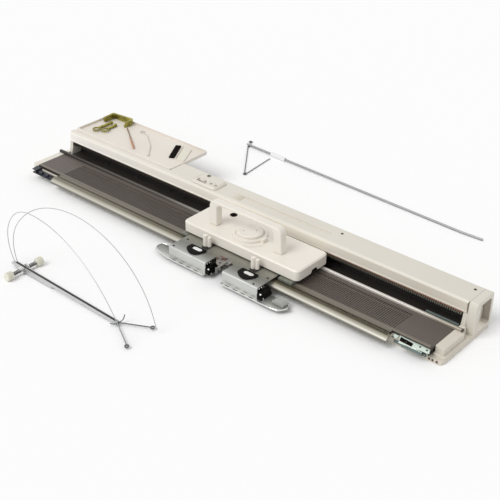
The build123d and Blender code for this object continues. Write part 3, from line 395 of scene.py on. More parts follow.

# %% [markdown]
# ## Bed and rails
#
# The bed is painted steel, worn by the carriage, and its needles and rails are plated. Drawn metal
# has its marks along the bed, so the grain is stretched that way, and the needles' grain lies
# across it. The pegs, comb and rear rail have painted light and reflection that change tone from
# left to right. The front rail is a round form, and its ramp up in height is a painted highlight
# line with painted shade on its sides, and the grooves are painted darker below a level.

# %% Finishes of the bed and its rails
ALONG_BED = (0.02, 1, 1)
ACROSS_BED = (1, 0.02, 1)
# Painted highlight: the front rail is painted bright across the middle of its height, with painted
# shade above and below.
rail_painted_highlight = [(0.0140, (108, 106, 100)), (0.0196, (128, 126, 118)), (0.0212, (190, 187, 175)),
             (0.0232, (186, 182, 170)), (0.0262, (134, 129, 112)), (0.0275, (112, 106, 86))]
# Painted light: the pegs are painted lighter at the left end and darker at the right.
peg_painted_light_stops = [(-0.46, (136, 130, 116)), (0.0, (100, 94, 76)), (0.46, (64, 58, 40))]
# Painted light: the comb teeth and the brown line above them are painted lighter towards the right.
comb_painted_light_stops = [(-0.53, (56, 52, 48)), (0.05, (70, 66, 60)), (0.53, (132, 130, 118))]
brown_line_painted_light_stops = [(-0.53, (60, 50, 45)), (0.05, (92, 70, 60)), (0.53, (172, 116, 94))]
# Painted shade and light: the crest of the front rail is painted darker than the rail, and darker
# still towards the right.
crest_painted_light_stops = [(-0.46, (158, 153, 140)), (0.0, (118, 112, 94)), (0.46, (82, 76, 55))]
# Painted reflection: the rear rail is painted dark at the left end, bright over most of its length
# and greyer at the right end.
back_rail_painted_reflection_stops = [(-0.55, (48, 44, 42)), (-0.2, (104, 99, 94)), (0.15, (226, 222, 216)),
            (0.44, (224, 219, 211)), (0.50, (178, 171, 158)), (0.55, (168, 160, 146))]
add_finishes({
    # The bed, the needles and the strip under the pegs are painted darker below a level: painted
    # shade in the grooves and between the pegs.
    "bed_grey": dict(colour=(91, 82, 76), metallic=0.2, roughness=0.45, stretch=ALONG_BED,
                     mottle=0.07, below=(0.0263, 0.3)),
    "needle_steel": dict(colour=(156, 146, 136), metallic=0.8, roughness=0.34,
                         stretch=ACROSS_BED, below=(0.0250, 0.25)),
    "peg_steel": dict(colour=peg_painted_light_stops, metallic=0.5),
    "rail_plated": dict(colour=rail_painted_highlight, axis="Z", metallic=0.45, roughness=0.36, spread=0.1,
                        stretch=ALONG_BED, mottle=0.06),
    "back_rail_painted_reflection": dict(colour=back_rail_painted_reflection_stops, metallic=0.3, roughness=0.34, stretch=ALONG_BED),
    "comb_grey": dict(colour=comb_painted_light_stops, metallic=0.3, roughness=0.4),
    "comb_line": dict(colour=brown_line_painted_light_stops, roughness=0.5),
    # Painted shade: the strip under the pegs is dark as the shade between them, and darker still
    # below a level.
    "under_peg_painted_shade": dict(colour=(92, 88, 70), metallic=0.2, roughness=0.5, mottle=0.15,
                        below=(0.0245, 0.3)),
    "crest_painted_shade": dict(colour=crest_painted_light_stops, metallic=0.4, roughness=0.45, mottle=0.1),
    "retainer_olive": dict(colour=(114, 107, 96), metallic=0.3, stretch=ALONG_BED),
    "channel_black": dict(colour=(46, 42, 39), roughness=0.36, stretch=ALONG_BED, mottle=0.25),
    "guide_blue": dict(colour=(112, 124, 122), metallic=0.4, roughness=0.4),
    "stop_plated": dict(colour=(214, 226, 215), metallic=0.35, roughness=0.34, mottle=0.05,
                        patches=40.0),
    "bracket_dark": dict(colour=(50, 54, 62), metallic=0.4, roughness=0.4, mottle=0.3,
                         patches=120.0),
    "base_dark": dict(colour=(52, 50, 47), metallic=0.5),
    "rivet_brown": dict(colour=(96, 78, 68), metallic=0.4, roughness=0.4),
})

# %% [markdown]
# ## Carriage, tools and tension unit
#
# The sinker plate is brushed steel that mirrors the housing behind it; its ramp from front to back
# and its broad patches are that reflection, painted. The black parts under it are dull, because a
# glossy black would mirror the white sky and look grey. The clamps have a yellow plating with
# strong patches of lighter and darker tone.

# %% Finishes of the carriage, the tools and the tension unit
# Painted reflection: the sinker plate is painted bright at its front fold and darker behind, with
# broad patches for an uneven reflection.
plate_painted_reflection_stops = [(-0.153, (206, 207, 203)), (-0.1455, (206, 207, 203)), (-0.141, (176, 177, 173)),
              (-0.128, (146, 147, 142)), (-0.115, (130, 131, 125)), (-0.095, (156, 155, 147)),
              (-0.080, (140, 139, 131))]
add_finishes({
    "sinker_steel": dict(colour=plate_painted_reflection_stops, axis="Y", metallic=0.8, roughness=0.32,
                         stretch=ALONG_BED, spread=0.14, bump=0.16, mottle=0.12, patches=16.0),
    "frame_black": dict(colour=(11, 10, 9), roughness=0.6, specular=0.1),
    "socket_black": dict(colour=(36, 30, 28), roughness=0.5, specular=0.3),
    "button_silver": dict(colour=(232, 232, 229), metallic=0.5, roughness=0.25),
    "wheel_brush": dict(colour=(38, 36, 36), roughness=0.75),
    "wheel_rubber": dict(colour=(30, 29, 29), roughness=0.68, specular=0.3),
    "shoe_grey": dict(colour=(122, 125, 114), metallic=0.3, mottle=0.25, patches=90.0),
    "feeder_steel": dict(colour=(150, 146, 142), metallic=0.85, roughness=0.3, mottle=0.15,
                         patches=90.0),
    "feeder_brown": dict(colour=(112, 84, 70), roughness=0.4),
    "roller_grey": dict(colour=(96, 95, 90), roughness=0.4),
    "chrome": dict(colour=(235, 235, 234), metallic=1.0, roughness=0.12, spread=0.04,
                   mottle=0.02),
    "bright_steel": dict(colour=(214, 213, 210), metallic=1.0, roughness=0.2, spread=0.06,
                         mottle=0.03),
    "clamp_olive": dict(colour=(148, 141, 70), metallic=0.85, roughness=0.26, mottle=0.35,
                        patches=70.0),
    "tool_brown": dict(colour=(178, 128, 90), metallic=0.1, roughness=0.4),
    "stem_brown": dict(colour=(134, 106, 88), metallic=0.3, roughness=0.4),
    "tool_white": dict(colour=(208, 202, 195), metallic=0.2, roughness=0.35),
    "pusher_black": dict(colour=(17, 13, 11), roughness=0.8, specular=0.04),
    "tension_plate": dict(colour=(204, 204, 205), metallic=0.75, roughness=0.36,
                          stretch=ALONG_BED),
    "spring_steel": dict(colour=(120, 120, 121), metallic=0.9, roughness=0.25),
    "rod_grey": dict(colour=(158, 158, 160), metallic=0.55),
    "wire_pale": dict(colour=(178, 179, 180), metallic=0.4),
    "wire_grey": dict(colour=(104, 105, 107), metallic=0.6, roughness=0.35),
})

# %% [markdown]
# ## Paint the solids
#
# Each solid takes the finish of its material slot. A few small pieces share a slot with a larger
# one and still look different, so they have a finish of their own.

# %% Give each node its finish
BUTTONS = [f"console_button_{number}" for number in range(1, 5)]
OWN_FINISH = {
    "front_shoes": "shoe_grey", "yarn_feeder": "feeder_steel", "retainer_bar": "retainer_olive",
    "rear_rail": "back_rail_painted_reflection", "channel_bar": "guide_blue", "mast_rod": "rod_grey",
    "tension_wires": "wire_pale", "tension_arms": "wire_grey", "yarn_guide": "wire_grey",
    "mast_socket": "mast_hole", **dict.fromkeys(BUTTONS, "button_grey"),
}
slot_of = {entry["node"]: entry["material_slot"] for entry in frame["record"]["subparts"]}
body_of = {node: body for body, held in frame["record"]["behaviour"]["bodies"].items()
           for node in held}
finish_of = {node: OWN_FINISH.get(node, slot_of[node]) for node in nodes}
for node, piece in nodes.items():
    piece.data.materials.clear()
    piece.data.materials.append(finishes[finish_of[node]])
print(len(finishes), "finishes on", len(nodes), "nodes")

# %% [markdown]
# ## From CAD solid to finished piece
#
# A imported solid is a set of loose triangles with knife-sharp edges. Real moulded and folded edges
# catch the light. So most solids get a finished copy: its doubles are merged, its flat areas are
# joined, its edges are bevelled a little, and round forms are shaded smooth. The copy then stands
# for the solid, which is hidden.

# %% Finish a piece and hand it over
SHARP_EDGE = 36


def finish_piece(piece, finish, body="machine", stands_for=(), slot=None, bevel=0.0, segments=2,
                 sharp=SHARP_EDGE):
    """Shade, bevel and paint a piece, and let it ride on its body."""
    mesh = piece.data
    if not mesh.materials:
        mesh.materials.append(finishes[finish])
    mesh.shade_smooth()
    mesh.set_sharp_from_angle(angle=radians(sharp))
    if bevel:
        rounding = piece.modifiers.new("edges", "BEVEL")
        rounding.width = bevel * MM
        rounding.segments = segments
        rounding.limit_method = "ANGLE"
        rounding.angle_limit = radians(sharp)
        rounding.harden_normals = True
    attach(piece, body)
    if stands_for:
        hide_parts(*stands_for)
    print(piece.name, len(mesh.polygons), "faces, rides on", body)
    return piece


print("an edge of more than", SHARP_EDGE, "degrees is sharp, and may get a bevel")

# %% Copy a solid, soften it and paint its parts
SAME_POINT = 0.01 * MM
FLAT_ENOUGH = radians(0.8)


def softened(node, bevel, more_finishes=(), rule=None, finish=None):
    """Finished copy of a node; a rule from a place in mm says which faces take another finish."""
    form = bmesh.new()
    form.from_mesh(nodes[node].data)
    bmesh.ops.remove_doubles(form, verts=form.verts, dist=SAME_POINT)
    bmesh.ops.dissolve_limit(form, angle_limit=FLAT_ENOUGH, verts=form.verts, edges=form.edges)
    if rule:
        for face in form.faces:
            face.material_index = rule(*(v / MM for v in face.calc_center_median()))
    mesh = bpy.data.meshes.new(node + "_finished")
    form.to_mesh(mesh)
    form.free()
    if "custom_normal" in mesh.attributes:
        mesh.attributes.remove(mesh.attributes["custom_normal"])
    for name in (finish or finish_of[node], *more_finishes):
        mesh.materials.append(finishes[name])
    return finish_piece(add_object(node + "_finished", mesh), finish, body_of[node], (node,),
                        slot_of[node], bevel)


print("points nearer than", SAME_POINT / MM, "mm are merged")

# %% [markdown]
# ## Soft edges, and painted light and shade on one moulding
#
# The edges of big mouldings are rounder than those of sheet steel, so each piece has its own width
# of bevel. The long cover and the right end are each one moulding, but their fascia, trough and
# grip take the light in another way, so that light and shade is painted into their colour: a
# lighter fascia, a darker slope in the trough, and a grip recess painted light at its front and
# shaded at its back. A rule on the middle of each face picks its finish.

# %% Soften the moulded and folded pieces
SOFT_EDGES = {
    "base_tray": 1.2, "end_housing_right": 1.0, "end_housing_left": 0.8, "rear_cover": 0.9,
    "console_cover": 0.8, "tool_tray": 0.7, "carriage_cover": 1.1, "cam_lever": 0.6,
    "front_rail": 0.4, "rear_rail": 0.3, "retainer_bar": 0.3, "rear_channel": 0.4,
    "channel_bar": 0.5, "clamp_frames": 0.9, "clamp_screws": 0.4, "front_shoes": 0.6,
    "connecting_screw_left": 0.7, "connecting_screw_right": 0.7, "sinker_plate": 0.25,
    "guide_plates": 0.3, "brush_frames": 0.5, "brush_button_left": 0.5,
    "brush_button_right": 0.5, "yarn_feeder": 0.2, "clear_guide": 0.7, "mast_slider": 0.7,
    "tripper_socket": 0.3, "tension_bar": 0.25, "carriage_base": 0.3,
    **dict.fromkeys(BUTTONS, 0.35),
}
FASCIA_BACK, FASCIA_FOOT = 24.5, 45
TROUGH_SLOPE = ((-37, -13), (32, 54), (-1, 73.9))
GRIP_RECESS = ((537, 553.4), (28, 79), (9, 70))


def inside(place, box):
    """Whether a place lies between the two ends of a box along every axis."""
    return all(low < value < high for value, (low, high) in zip(place, box))


def cover_colour(x, y, z):
    """0 is the housing, 1 the fascia with its painted light, 2 the slope at the left end of the
    trough with its painted shade.
    """
    if y < FASCIA_BACK and z > FASCIA_FOOT:
        return 1
    return 2 if inside((x, y, z), TROUGH_SLOPE) else 0


def grip_colour(x, y, z):
    """0 is the housing, 1 the inside of the grip recess in the right end, painted light at its
    front and painted shade at its back.
    """
    return int(inside((x, y, z), GRIP_RECESS))


PART_COLOURS = {"rear_cover": (("fascia_painted_light", "trough_painted_shade"), cover_colour),
                "end_housing_right": (("grip_painted_light_and_shade",), grip_colour)}
for node, width in SOFT_EDGES.items():
    softened(node, width, *PART_COLOURS.get(node, ()))
print(len(SOFT_EDGES), "softened pieces")

# %% [markdown]
# ## Helpers for new forms
#
# New forms come from three small tools. A slab is an outline with a thickness. A turned form is a
# profile spun round an axis, as on a lathe. A wire is a smooth curve with a round section, made a
# mesh at once so that its place is in its points.

# %% Slab
def add_slab(form, outline, low, high, axis="Z"):
    """Outline in millimetres, thickened along one axis of the machine."""
    place = {"X": lambda a, b, c: (c, a, b), "Y": lambda a, b, c: (a, c, b),
             "Z": lambda a, b, c: (a, b, c)}[axis]
    near = [form.verts.new([v * MM for v in place(a, b, low)]) for a, b in outline]
    far = [form.verts.new([v * MM for v in place(a, b, high)]) for a, b in outline]
    form.faces.new(near)
    form.faces.new(far[::-1])
    for one in range(len(near)):
        two = (one + 1) % len(near)
        form.faces.new((near[two], near[one], far[one], far[two]))


def box_outline(left, right, low, high, corner=0.0):
    """Rectangle, with its corners cut off where a corner is given."""
    if not corner:
        return [(left, low), (right, low), (right, high), (left, high)]
    return [(left + corner, low), (right - corner, low), (right, low + corner),
            (right, high - corner), (right - corner, high), (left + corner, high),
            (left, high - corner), (left, low + corner)]


print("a plain box outline has", len(box_outline(0, 1, 0, 1)), "corners, a cut one",
      len(box_outline(0, 1, 0, 1, 0.1)))

# %% Finished piece from slabs
def link_piece(name, form):
    """Turn a bmesh into a linked object with its faces outward."""
    bmesh.ops.recalc_face_normals(form, faces=form.faces)
    mesh = bpy.data.meshes.new(name)
    form.to_mesh(mesh)
    form.free()
    return add_object(name, mesh)


def slab_piece(name, slabs, finish, body="machine", **more):
    """Finished piece from slabs, each an outline, its two levels and perhaps its axis."""
    form = bmesh.new()
    for slab in slabs:
        add_slab(form, *slab)
    return finish_piece(link_piece(name, form), finish, body, **more)


print("a slab piece rides on the machine unless another body is given")

# %% Turned form
UP = (0, 0, 1)
ON_AXIS = 0.001
CLOSED_SEAM = 0.002 * MM


def add_turned(form, profile, start, direction=UP, sides=32):
    """Profile of (radius, distance) in millimetres, spun round a line from the start."""
    turn = Vector(direction).normalized().to_track_quat("Z", "Y")
    rings = []
    for radius, along in profile:
        steps = sides if radius > ON_AXIS else 1
        ring = []
        for step in range(steps):
            angle = 2 * pi * step / sides
            point = Vector((radius * cos(angle), radius * sin(angle), along))
            ring.append(form.verts.new((Vector(start) + turn @ point) * MM))
        rings.append(ring)
    for near, far in zip(rings, rings[1:]):
        for step in range(sides):
            corners = [near[step % len(near)], near[(step + 1) % len(near)],
                       far[(step + 1) % len(far)], far[step % len(far)]]
            corners = list(dict.fromkeys(corners))
            if len(corners) > 2:
                form.faces.new(corners)


def turned_piece(name, turnings, finish, body="machine", **more):
    """Finished piece from turned forms, each given as add_turned takes it."""
    form = bmesh.new()
    for turning in turnings:
        add_turned(form, *turning)
    bmesh.ops.remove_doubles(form, verts=form.verts, dist=CLOSED_SEAM)
    return finish_piece(link_piece(name, form), finish, body, **more)


print("a turned seam closes within", CLOSED_SEAM / MM, "mm")

# %% Wire
SECTION_STEPS, RUN_STEPS, CURVE_ORDER = 3, 6, 3


def wire(name, points, radius, closed=False):
    """Smooth round wire along points in millimetres, returned as a mesh object."""
    curve = bpy.data.curves.new(name, "CURVE")
    curve.dimensions = "3D"
    curve.bevel_depth = radius * MM
    curve.bevel_resolution = SECTION_STEPS
    curve.use_fill_caps = True
    line = curve.splines.new("NURBS")
    line.points.add(len(points) - 1)
    for point, place in zip(line.points, points):
        point.co = (*(v * MM for v in place), 1)
    line.use_cyclic_u = closed
    line.order_u = CURVE_ORDER
    line.use_endpoint_u = not closed
    line.resolution_u = RUN_STEPS
    holder = add_object(name + "_curve", curve)
    view = bpy.context.evaluated_depsgraph_get()
    mesh = bpy.data.meshes.new_from_object(holder.evaluated_get(view))
    mesh.name = name
    bpy.data.objects.remove(holder)
    return add_object(name, mesh)


print("a wire has", RUN_STEPS, "steps from one of its points to the next")

# %% [markdown]
# ## Pieces that repeat
#
# Needles, pegs, comb teeth, bristles and spring turns are small shapes set out by a rule. A node
# tree does this: it makes the points, puts the shape on each, and turns the instances into real
# faces. The result is copied to a plain mesh, so nothing live is left on the finished piece.

# %% Start and end of every tree
MATERIAL = ("Material", "Material")


def new_tree(name, *sizes):
    """Node tree with named inputs; returns the tree, its inputs by name and its output node."""
    tree = bpy.data.node_groups.new(name, "GeometryNodeTree")
    tree.interface.new_socket("Geometry", in_out="INPUT", socket_type="NodeSocketGeometry")
    for label, kind in sizes:
        tree.interface.new_socket(label, in_out="INPUT", socket_type="NodeSocket" + kind)
    tree.interface.new_socket("Geometry", in_out="OUTPUT", socket_type="NodeSocketGeometry")
    return tree, tree.nodes.new("NodeGroupInput").outputs, tree.nodes.new("NodeGroupOutput")


def finish_tree(tree, geometry, given, leave):
    """Realize the instances and give them the material input."""
    solid = add_node(tree, "GeometryNodeRealizeInstances")
    paint = add_node(tree, "GeometryNodeSetMaterial")
    join(tree, (geometry, solid.inputs[0]), (solid.outputs[0], paint.inputs["Geometry"]),
         (given["Material"], paint.inputs["Material"]), (paint.outputs[0], leave.inputs[0]))
    print(tree.name, "tree with", len(tree.nodes), "nodes")


print("every tree takes a", MATERIAL[0].lower(), "and ends in real faces")

# %% Run a tree, and a shape for it to copy
def grow(tree, name, finish, **sizes):
    """Run a tree and keep its result as a plain mesh object."""
    sizes["Material"] = finishes[finish]
    holder = add_object(name + "_holder", bpy.data.meshes.new(name + "_holder"))
    modifier = holder.modifiers.new("grow", "NODES")
    modifier.node_group = tree
    for item in tree.interface.items_tree:
        if item.in_out == "INPUT" and item.name in sizes:
            modifier[item.identifier] = sizes[item.name]
    view = bpy.context.evaluated_depsgraph_get()
    mesh = bpy.data.meshes.new_from_object(holder.evaluated_get(view))
    holder.modifiers.clear()
    bpy.data.objects.remove(holder)
    mesh.name = name
    return add_object(name, mesh)


def pattern_shape(name, *slabs, smooth=False):
    """Slabs that a tree copies; the object isn't linked to the scene and never shows."""
    form = bmesh.new()
    for slab in slabs:
        add_slab(form, *slab)
    for face in form.faces:
        face.smooth = smooth
    bmesh.ops.recalc_face_normals(form, faces=form.faces)
    mesh = bpy.data.meshes.new(name)
    form.to_mesh(mesh)
    form.free()
    return bpy.data.objects.new(name, mesh)


print("a grown piece is a plain mesh, with no modifier left")

# %% [markdown]
# ## A row, a ring and a coil
#
# Three trees are enough for this machine. The row tree makes a line of points and puts the shape on
# each. The ring tree puts every copy on one point and turns each a step further, then tilts the
# ring on to its axle. The coil tree sweeps a small circle along a spiral.

# %% Tree: one shape in a straight row
row_tree, given, leave = new_tree("row", ("Shape", "Object"), ("Count", "Int"),
                                  ("Start", "Vector"), ("Step", "Vector"), MATERIAL)
line = add_node(row_tree, "GeometryNodeMeshLine")
shape = add_node(row_tree, "GeometryNodeObjectInfo")
copies = add_node(row_tree, "GeometryNodeInstanceOnPoints")
join(row_tree, (given["Count"], line.inputs["Count"]),
     (given["Start"], line.inputs["Start Location"]), (given["Step"], line.inputs["Offset"]),
     (given["Shape"], shape.inputs["Object"]), (line.outputs["Mesh"], copies.inputs["Points"]),
     (shape.outputs["Geometry"], copies.inputs["Instance"]))
finish_tree(row_tree, copies.outputs["Instances"], given, leave)

# %% Tree: one shape set out in a ring
ring_tree, given, leave = new_tree("ring", ("Shape", "Object"), ("Count", "Int"),
                                   ("Tilt", "Vector"), ("Place", "Vector"), MATERIAL)
ring = add_node(ring_tree, "GeometryNodeMeshCircle", {"Radius": 0.0})
shape = add_node(ring_tree, "GeometryNodeObjectInfo")
copies = add_node(ring_tree, "GeometryNodeInstanceOnPoints")
index = add_node(ring_tree, "GeometryNodeInputIndex")
one_step = add_node(ring_tree, "ShaderNodeMath", {0: 2 * pi}, operation="DIVIDE")
angle = add_node(ring_tree, "ShaderNodeMath", operation="MULTIPLY")
about = add_node(ring_tree, "ShaderNodeCombineXYZ")
stand = add_node(ring_tree, "GeometryNodeTransform")
join(ring_tree, (given["Count"], ring.inputs["Vertices"]), (given["Count"], one_step.inputs[1]),
     (one_step.outputs[0], angle.inputs[0]), (index.outputs[0], angle.inputs[1]),
     (angle.outputs[0], about.inputs["Z"]), (given["Shape"], shape.inputs["Object"]),
     (ring.outputs["Mesh"], copies.inputs["Points"]),
     (shape.outputs["Geometry"], copies.inputs["Instance"]),
     (about.outputs[0], copies.inputs["Rotation"]),
     (copies.outputs["Instances"], stand.inputs["Geometry"]),
     (given["Tilt"], stand.inputs["Rotation"]), (given["Place"], stand.inputs["Translation"]))
finish_tree(ring_tree, stand.outputs["Geometry"], given, leave)

# %% Tree: wire wound into a coil
WIRE_SIDES = 8
coil_tree, given, leave = new_tree("coil", ("Turns", "Float"), ("Radius", "Float"),
                                   ("Height", "Float"), ("Wire", "Float"), ("Steps", "Int"),
                                   ("Tilt", "Vector"), ("Place", "Vector"), MATERIAL)
coil = add_node(coil_tree, "GeometryNodeCurveSpiral")
section = add_node(coil_tree, "GeometryNodeCurvePrimitiveCircle", {"Resolution": WIRE_SIDES})
tube = add_node(coil_tree, "GeometryNodeCurveToMesh", {"Fill Caps": True})
stand = add_node(coil_tree, "GeometryNodeTransform")
join(coil_tree, (given["Steps"], coil.inputs["Resolution"]),
     (given["Turns"], coil.inputs["Rotations"]), (given["Radius"], coil.inputs["Start Radius"]),
     (given["Radius"], coil.inputs["End Radius"]), (given["Height"], coil.inputs["Height"]),
     (given["Wire"], section.inputs["Radius"]), (coil.outputs[0], tube.inputs["Curve"]),
     (section.outputs[0], tube.inputs["Profile Curve"]),
     (tube.outputs[0], stand.inputs["Geometry"]), (given["Tilt"], stand.inputs["Rotation"]),
     (given["Place"], stand.inputs["Translation"]))
finish_tree(coil_tree, stand.outputs["Geometry"], given, leave)

# %% [markdown]
# ## Needles and gate pegs
#
# A latch needle is a flat steel stem with a hook at the front and a butt near the back that the
# carriage's cams push. Between the hooks stand round-topped pegs that hold the stitches apart. The
# side view of each is drawn once, given its thickness, and set out at the needle pitch, which is
# how a punch press makes them too.

# %% Draw one needle and one peg and set out their rows
NEEDLE_SIDE = [(-18, 22.6), (-18, 25.3), (-23, 25.3), (-23.4, 28.0), (-26.2, 28.0), (-26.6, 25.3),
               (-73, 25.3), (-77, 24.1), (-89.2, 24.1), (-89.8, 24.7), (-89.4, 25.3),
               (-87.9, 25.2), (-87.8, 26.0), (-89.8, 26.1), (-90.9, 25.1), (-90.9, 23.5),
               (-90.1, 22.8), (-88.5, 22.6)]
PEG_SIDE = [(-92.4, 22.5), (-92.4, 27.05), (-99.2, 27.05), (-98.4, 27.5), (-92.6, 27.6),
            (-90.4, 27.8), (-89.6, 28.0), (-88.6, 27.8), (-84.5, 26.6), (-80.3, 26.0),
            (-80.3, 22.5)]
NEEDLE_COUNT = 200
NEEDLE_PITCH = 4.5
HALF_NEEDLE, HALF_PEG = 0.55, 0.8
first_needle = -NEEDLE_PITCH * (NEEDLE_COUNT - 1) / 2


def set_out_row(name, slab, count, first, finish, **more):
    """A slab copied along the bed at the needle pitch, as one finished piece."""
    row = grow(row_tree, name, finish, Shape=pattern_shape(name + "_shape", slab), Count=count,
               Start=(first * MM, 0, 0), Step=(NEEDLE_PITCH * MM, 0, 0))
    return finish_piece(row, finish, **more)


set_out_row("needle_row", (NEEDLE_SIDE, -HALF_NEEDLE, HALF_NEEDLE, "X"), NEEDLE_COUNT,
            first_needle, "needle_steel", stands_for=("needles",))
set_out_row("peg_row", (PEG_SIDE, -HALF_PEG, HALF_PEG, "X"), NEEDLE_COUNT + 1,
            first_needle - NEEDLE_PITCH / 2, "peg_steel", stands_for=("gate_pegs",))

# %% [markdown]
# ## Strips under the pegs
#
# The pegs stand on a dark strip, with a paler ledge behind it and a crest over their fronts. The
# dark strip is painted shade between the pegs, and the crest strip is painted shade on the rail's
# crest. The row of light pegs against the dark strip is what the eye catches along the front of the
# bed. Each strip is one long thin slab, because nothing on it repeats.

# %% Strip, ledge and crest
LEDGE = 22.5
ROW_MARGIN = 2.6
half_row = ROW_MARGIN - first_needle


def long_strip(front, back, corner=0.0):
    """Outline as long as the row of needles."""
    return box_outline(-half_row, half_row, front, back, corner)


# Painted shade: a dark strip where the gaps between the pegs lie in shade.
slab_piece("peg_strip", [(long_strip(-92.3, -87.6), LEDGE, LEDGE + 0.3)], "under_peg_painted_shade",
           slot="rail_plated")
slab_piece("ledge_strip", [(long_strip(-87.6, -80.1), LEDGE, LEDGE + 0.4),
                           (long_strip(-87.4, -80.2, 0.3), 25.4, 27.1)], "retainer_olive",
           slot="rail_plated")
# Painted shade: a darker strip along the crest of the front rail.
slab_piece("crest_strip", [(long_strip(-98.2, -92.7), 27.0, 27.15)], "crest_painted_shade",
           slot="rail_plated")

# %% [markdown]
# ## Comb below the fascia
#
# Just under the front edge of the housing runs a comb of fine dark teeth with a thin brown line
# above it. The carriage reads its place from this comb. Teeth and line have painted light that is
# lighter towards the right. One tooth in a row is enough, with a plain bar behind it that hangs
# from the underside of the fascia.

# %% Comb teeth, bar and brown line
COMB_TEETH = 234
COMB_LEFT, COMB_RIGHT, COMB_INSET = -526, 527, 3
set_out_row("comb_teeth", (box_outline(-0.9, 0.9, 19.2, 23.0), 43.6, 47.4), COMB_TEETH,
            COMB_LEFT + COMB_INSET, "comb_grey", slot="channel_black")
slab_piece("comb_bar", [(box_outline(22.9, 25.2, 42.5, 48.95), COMB_LEFT, COMB_RIGHT, "X")],
           "channel_black", bevel=0.2)
slab_piece("comb_line", [(box_outline(22.2, 22.9, 47.8, 48.7), COMB_LEFT, COMB_RIGHT, "X")],
           "comb_line", slot="channel_black")

# %% [markdown]
# ## Ends of the rear rail
#
# The rear rail ends in a dark steel cap at the left and a short brown one at the right. Both have
# the rail's section with its corners cut, so one outline makes the two, in two lengths.

# %% Rail caps
cap_section = box_outline(-4.9, 1.9, 26.55, 31.9, 0.8)
slab_piece("rail_cap_left", [(cap_section, -546.3, -524.0, "X")], "base_dark", bevel=0.3)
slab_piece("rail_cap_right", [(cap_section, 543.2, 546.3, "X")], "cap_brown", slot="base_dark",
           bevel=0.3)

# %% [markdown]
# ## Slotted screws
#
# Cover, sinker plate and corner plates are held by pan head screws with one slot. The head is
# turned from its side view, and the slot is a dark sliver across the top, turned a little further
# on each screw, because no two are ever tightened alike. The dark of the sliver is painted shade in
# the slot.

# %% Screw heads with their slots
PAN_HEAD = [(0, 0), (1, 0), (1, 0.45), (0.86, 0.82), (0.6, 1), (0, 1)]
HEAD_SIDES = 24
FIRST_TURN, NEXT_TURN = 0.6, 0.9
SLOT_REACH, SLOT_HALF = 0.8, 0.16
SLOT_SUNK, SLOT_PROUD = 0.05, 0.04


def slot_outline(x, y, radius, turn):
    """Thin rectangle across a head."""
    corners = []
    for along, aside in ((-1, -1), (1, -1), (1, 1), (-1, 1)):
        reach, wide = along * radius * SLOT_REACH, aside * radius * SLOT_HALF
        corners.append((x + cos(turn) * reach - sin(turn) * wide,
                        y + sin(turn) * reach + cos(turn) * wide))
    return corners


def screw_set(name, places, radius, height, body="machine", stands_for=()):
    """Screw heads as one piece, with their slots as a second finish of painted shade."""
    side = [(share * radius, level * height) for share, level in PAN_HEAD]
    form = bmesh.new()
    for place in places:
        add_turned(form, side, place, UP, HEAD_SIDES)
    heads = len(form.faces)
    # Painted shade: each slot is a dark sliver that stands for the shade in the cut.
    for number, (x, y, z) in enumerate(places):
        outline = slot_outline(x, y, radius, FIRST_TURN + NEXT_TURN * number)
        add_slab(form, outline, z + height - SLOT_SUNK, z + height + SLOT_PROUD)
    form.faces.ensure_lookup_table()
    for face in form.faces[heads:]:
        face.material_index = 1
    piece = link_piece(name, form)
    for finish in ("base_dark", "socket_black"):
        piece.data.materials.append(finishes[finish])
    return finish_piece(piece, "base_dark", body, stands_for)


print("a head is turned with", HEAD_SIDES, "sides")

# %% Screws of the cover, the sinker plate and the corner plates
screw_set("cover_screw_heads", [(228, 65, 74), (525, 65, 74)], 2.7, 1.0,
          stands_for=("cover_screws",))
screw_set("sinker_screw_heads", [(-30, -103, 34), (183, -106, 34), (176, -139, 34),
                                 (-34, -139, 34)], 2.4, 0.9, "carriage", ("sinker_screws",))
screw_set("plate_screw_heads", [(486, -91, 24), (512, -86, 24), (526, -86.5, 24)], 2.0, 0.7)

# %% [markdown]
# ## Plates at the front corners
#
# The right corner plate is pale with a dark slot, a small tab at its inner end and a grey skirt
# under it. The dark of the slot is painted shadow: a black slab fills the hole and rims it. The
# left bracket is nearly black. Both are in one solid, so a rule on the place of a face tells the
# bracket and the lower part from the rest. Three brown rivets sit below the right plate, in the
# front wall of the base.

# %% Corner plates
BRACKET_FROM, LOWER_PART_TOP = -531, 21


def plate_colour(x, y, z):
    """0 is the pale plate, 1 the dark bracket at the left, 2 the lower part at the right."""
    if BRACKET_FROM < x < 0:
        return 1
    return 2 if x > 0 and z < LOWER_PART_TOP else 0


softened("stop_plates", 0.3, ("bracket_dark", "guide_blue"), plate_colour, "stop_plated")
RIVET_SIDE = [(0, 0), (2.5, 0), (2.5, 0.6), (1.7, 1.1), (0, 1.1)]
turned_piece("base_rivets", [(RIVET_SIDE, (x, -81.95, 5.8), (0, -1, 0), 18)
                             for x in (529.6, 536.5, 545.0)], "rivet_brown", slot="base_dark")
slab_piece("plate_tab", [([(455.6, -82.2), (466.4, -82.2), (466.4, -92.6), (458.0, -88.5)],
                          22.4, 23.9)], "stop_plated", bevel=0.3)
slab_piece("plate_skirt", [(box_outline(457.0, 524.0, -84.6, -82.1), 6.6, 12.2)], "guide_blue",
           slot="stop_plated", bevel=0.3)
# Painted shadow: a black slab in and round the hole of the slot.
slab_piece("slot_insert", [([(470.5, -83.4), (498.0, -85.6), (500.5, -95.6), (474.5, -94.8)],
                            21.8, 24.12)], "pusher_black", slot="frame_black")

# %% [markdown]
# ## Curbs beside the bed, and seams
#
# A curb on each end of the base keeps the bed in place, and a low step lies beside the right one.
# They are outlines with a height and a soft bevel. A moulding seam shows as a thin brown slot in
# the fascia and a filled line on top. Both are thin slabs, since a seam is too small to be cut.

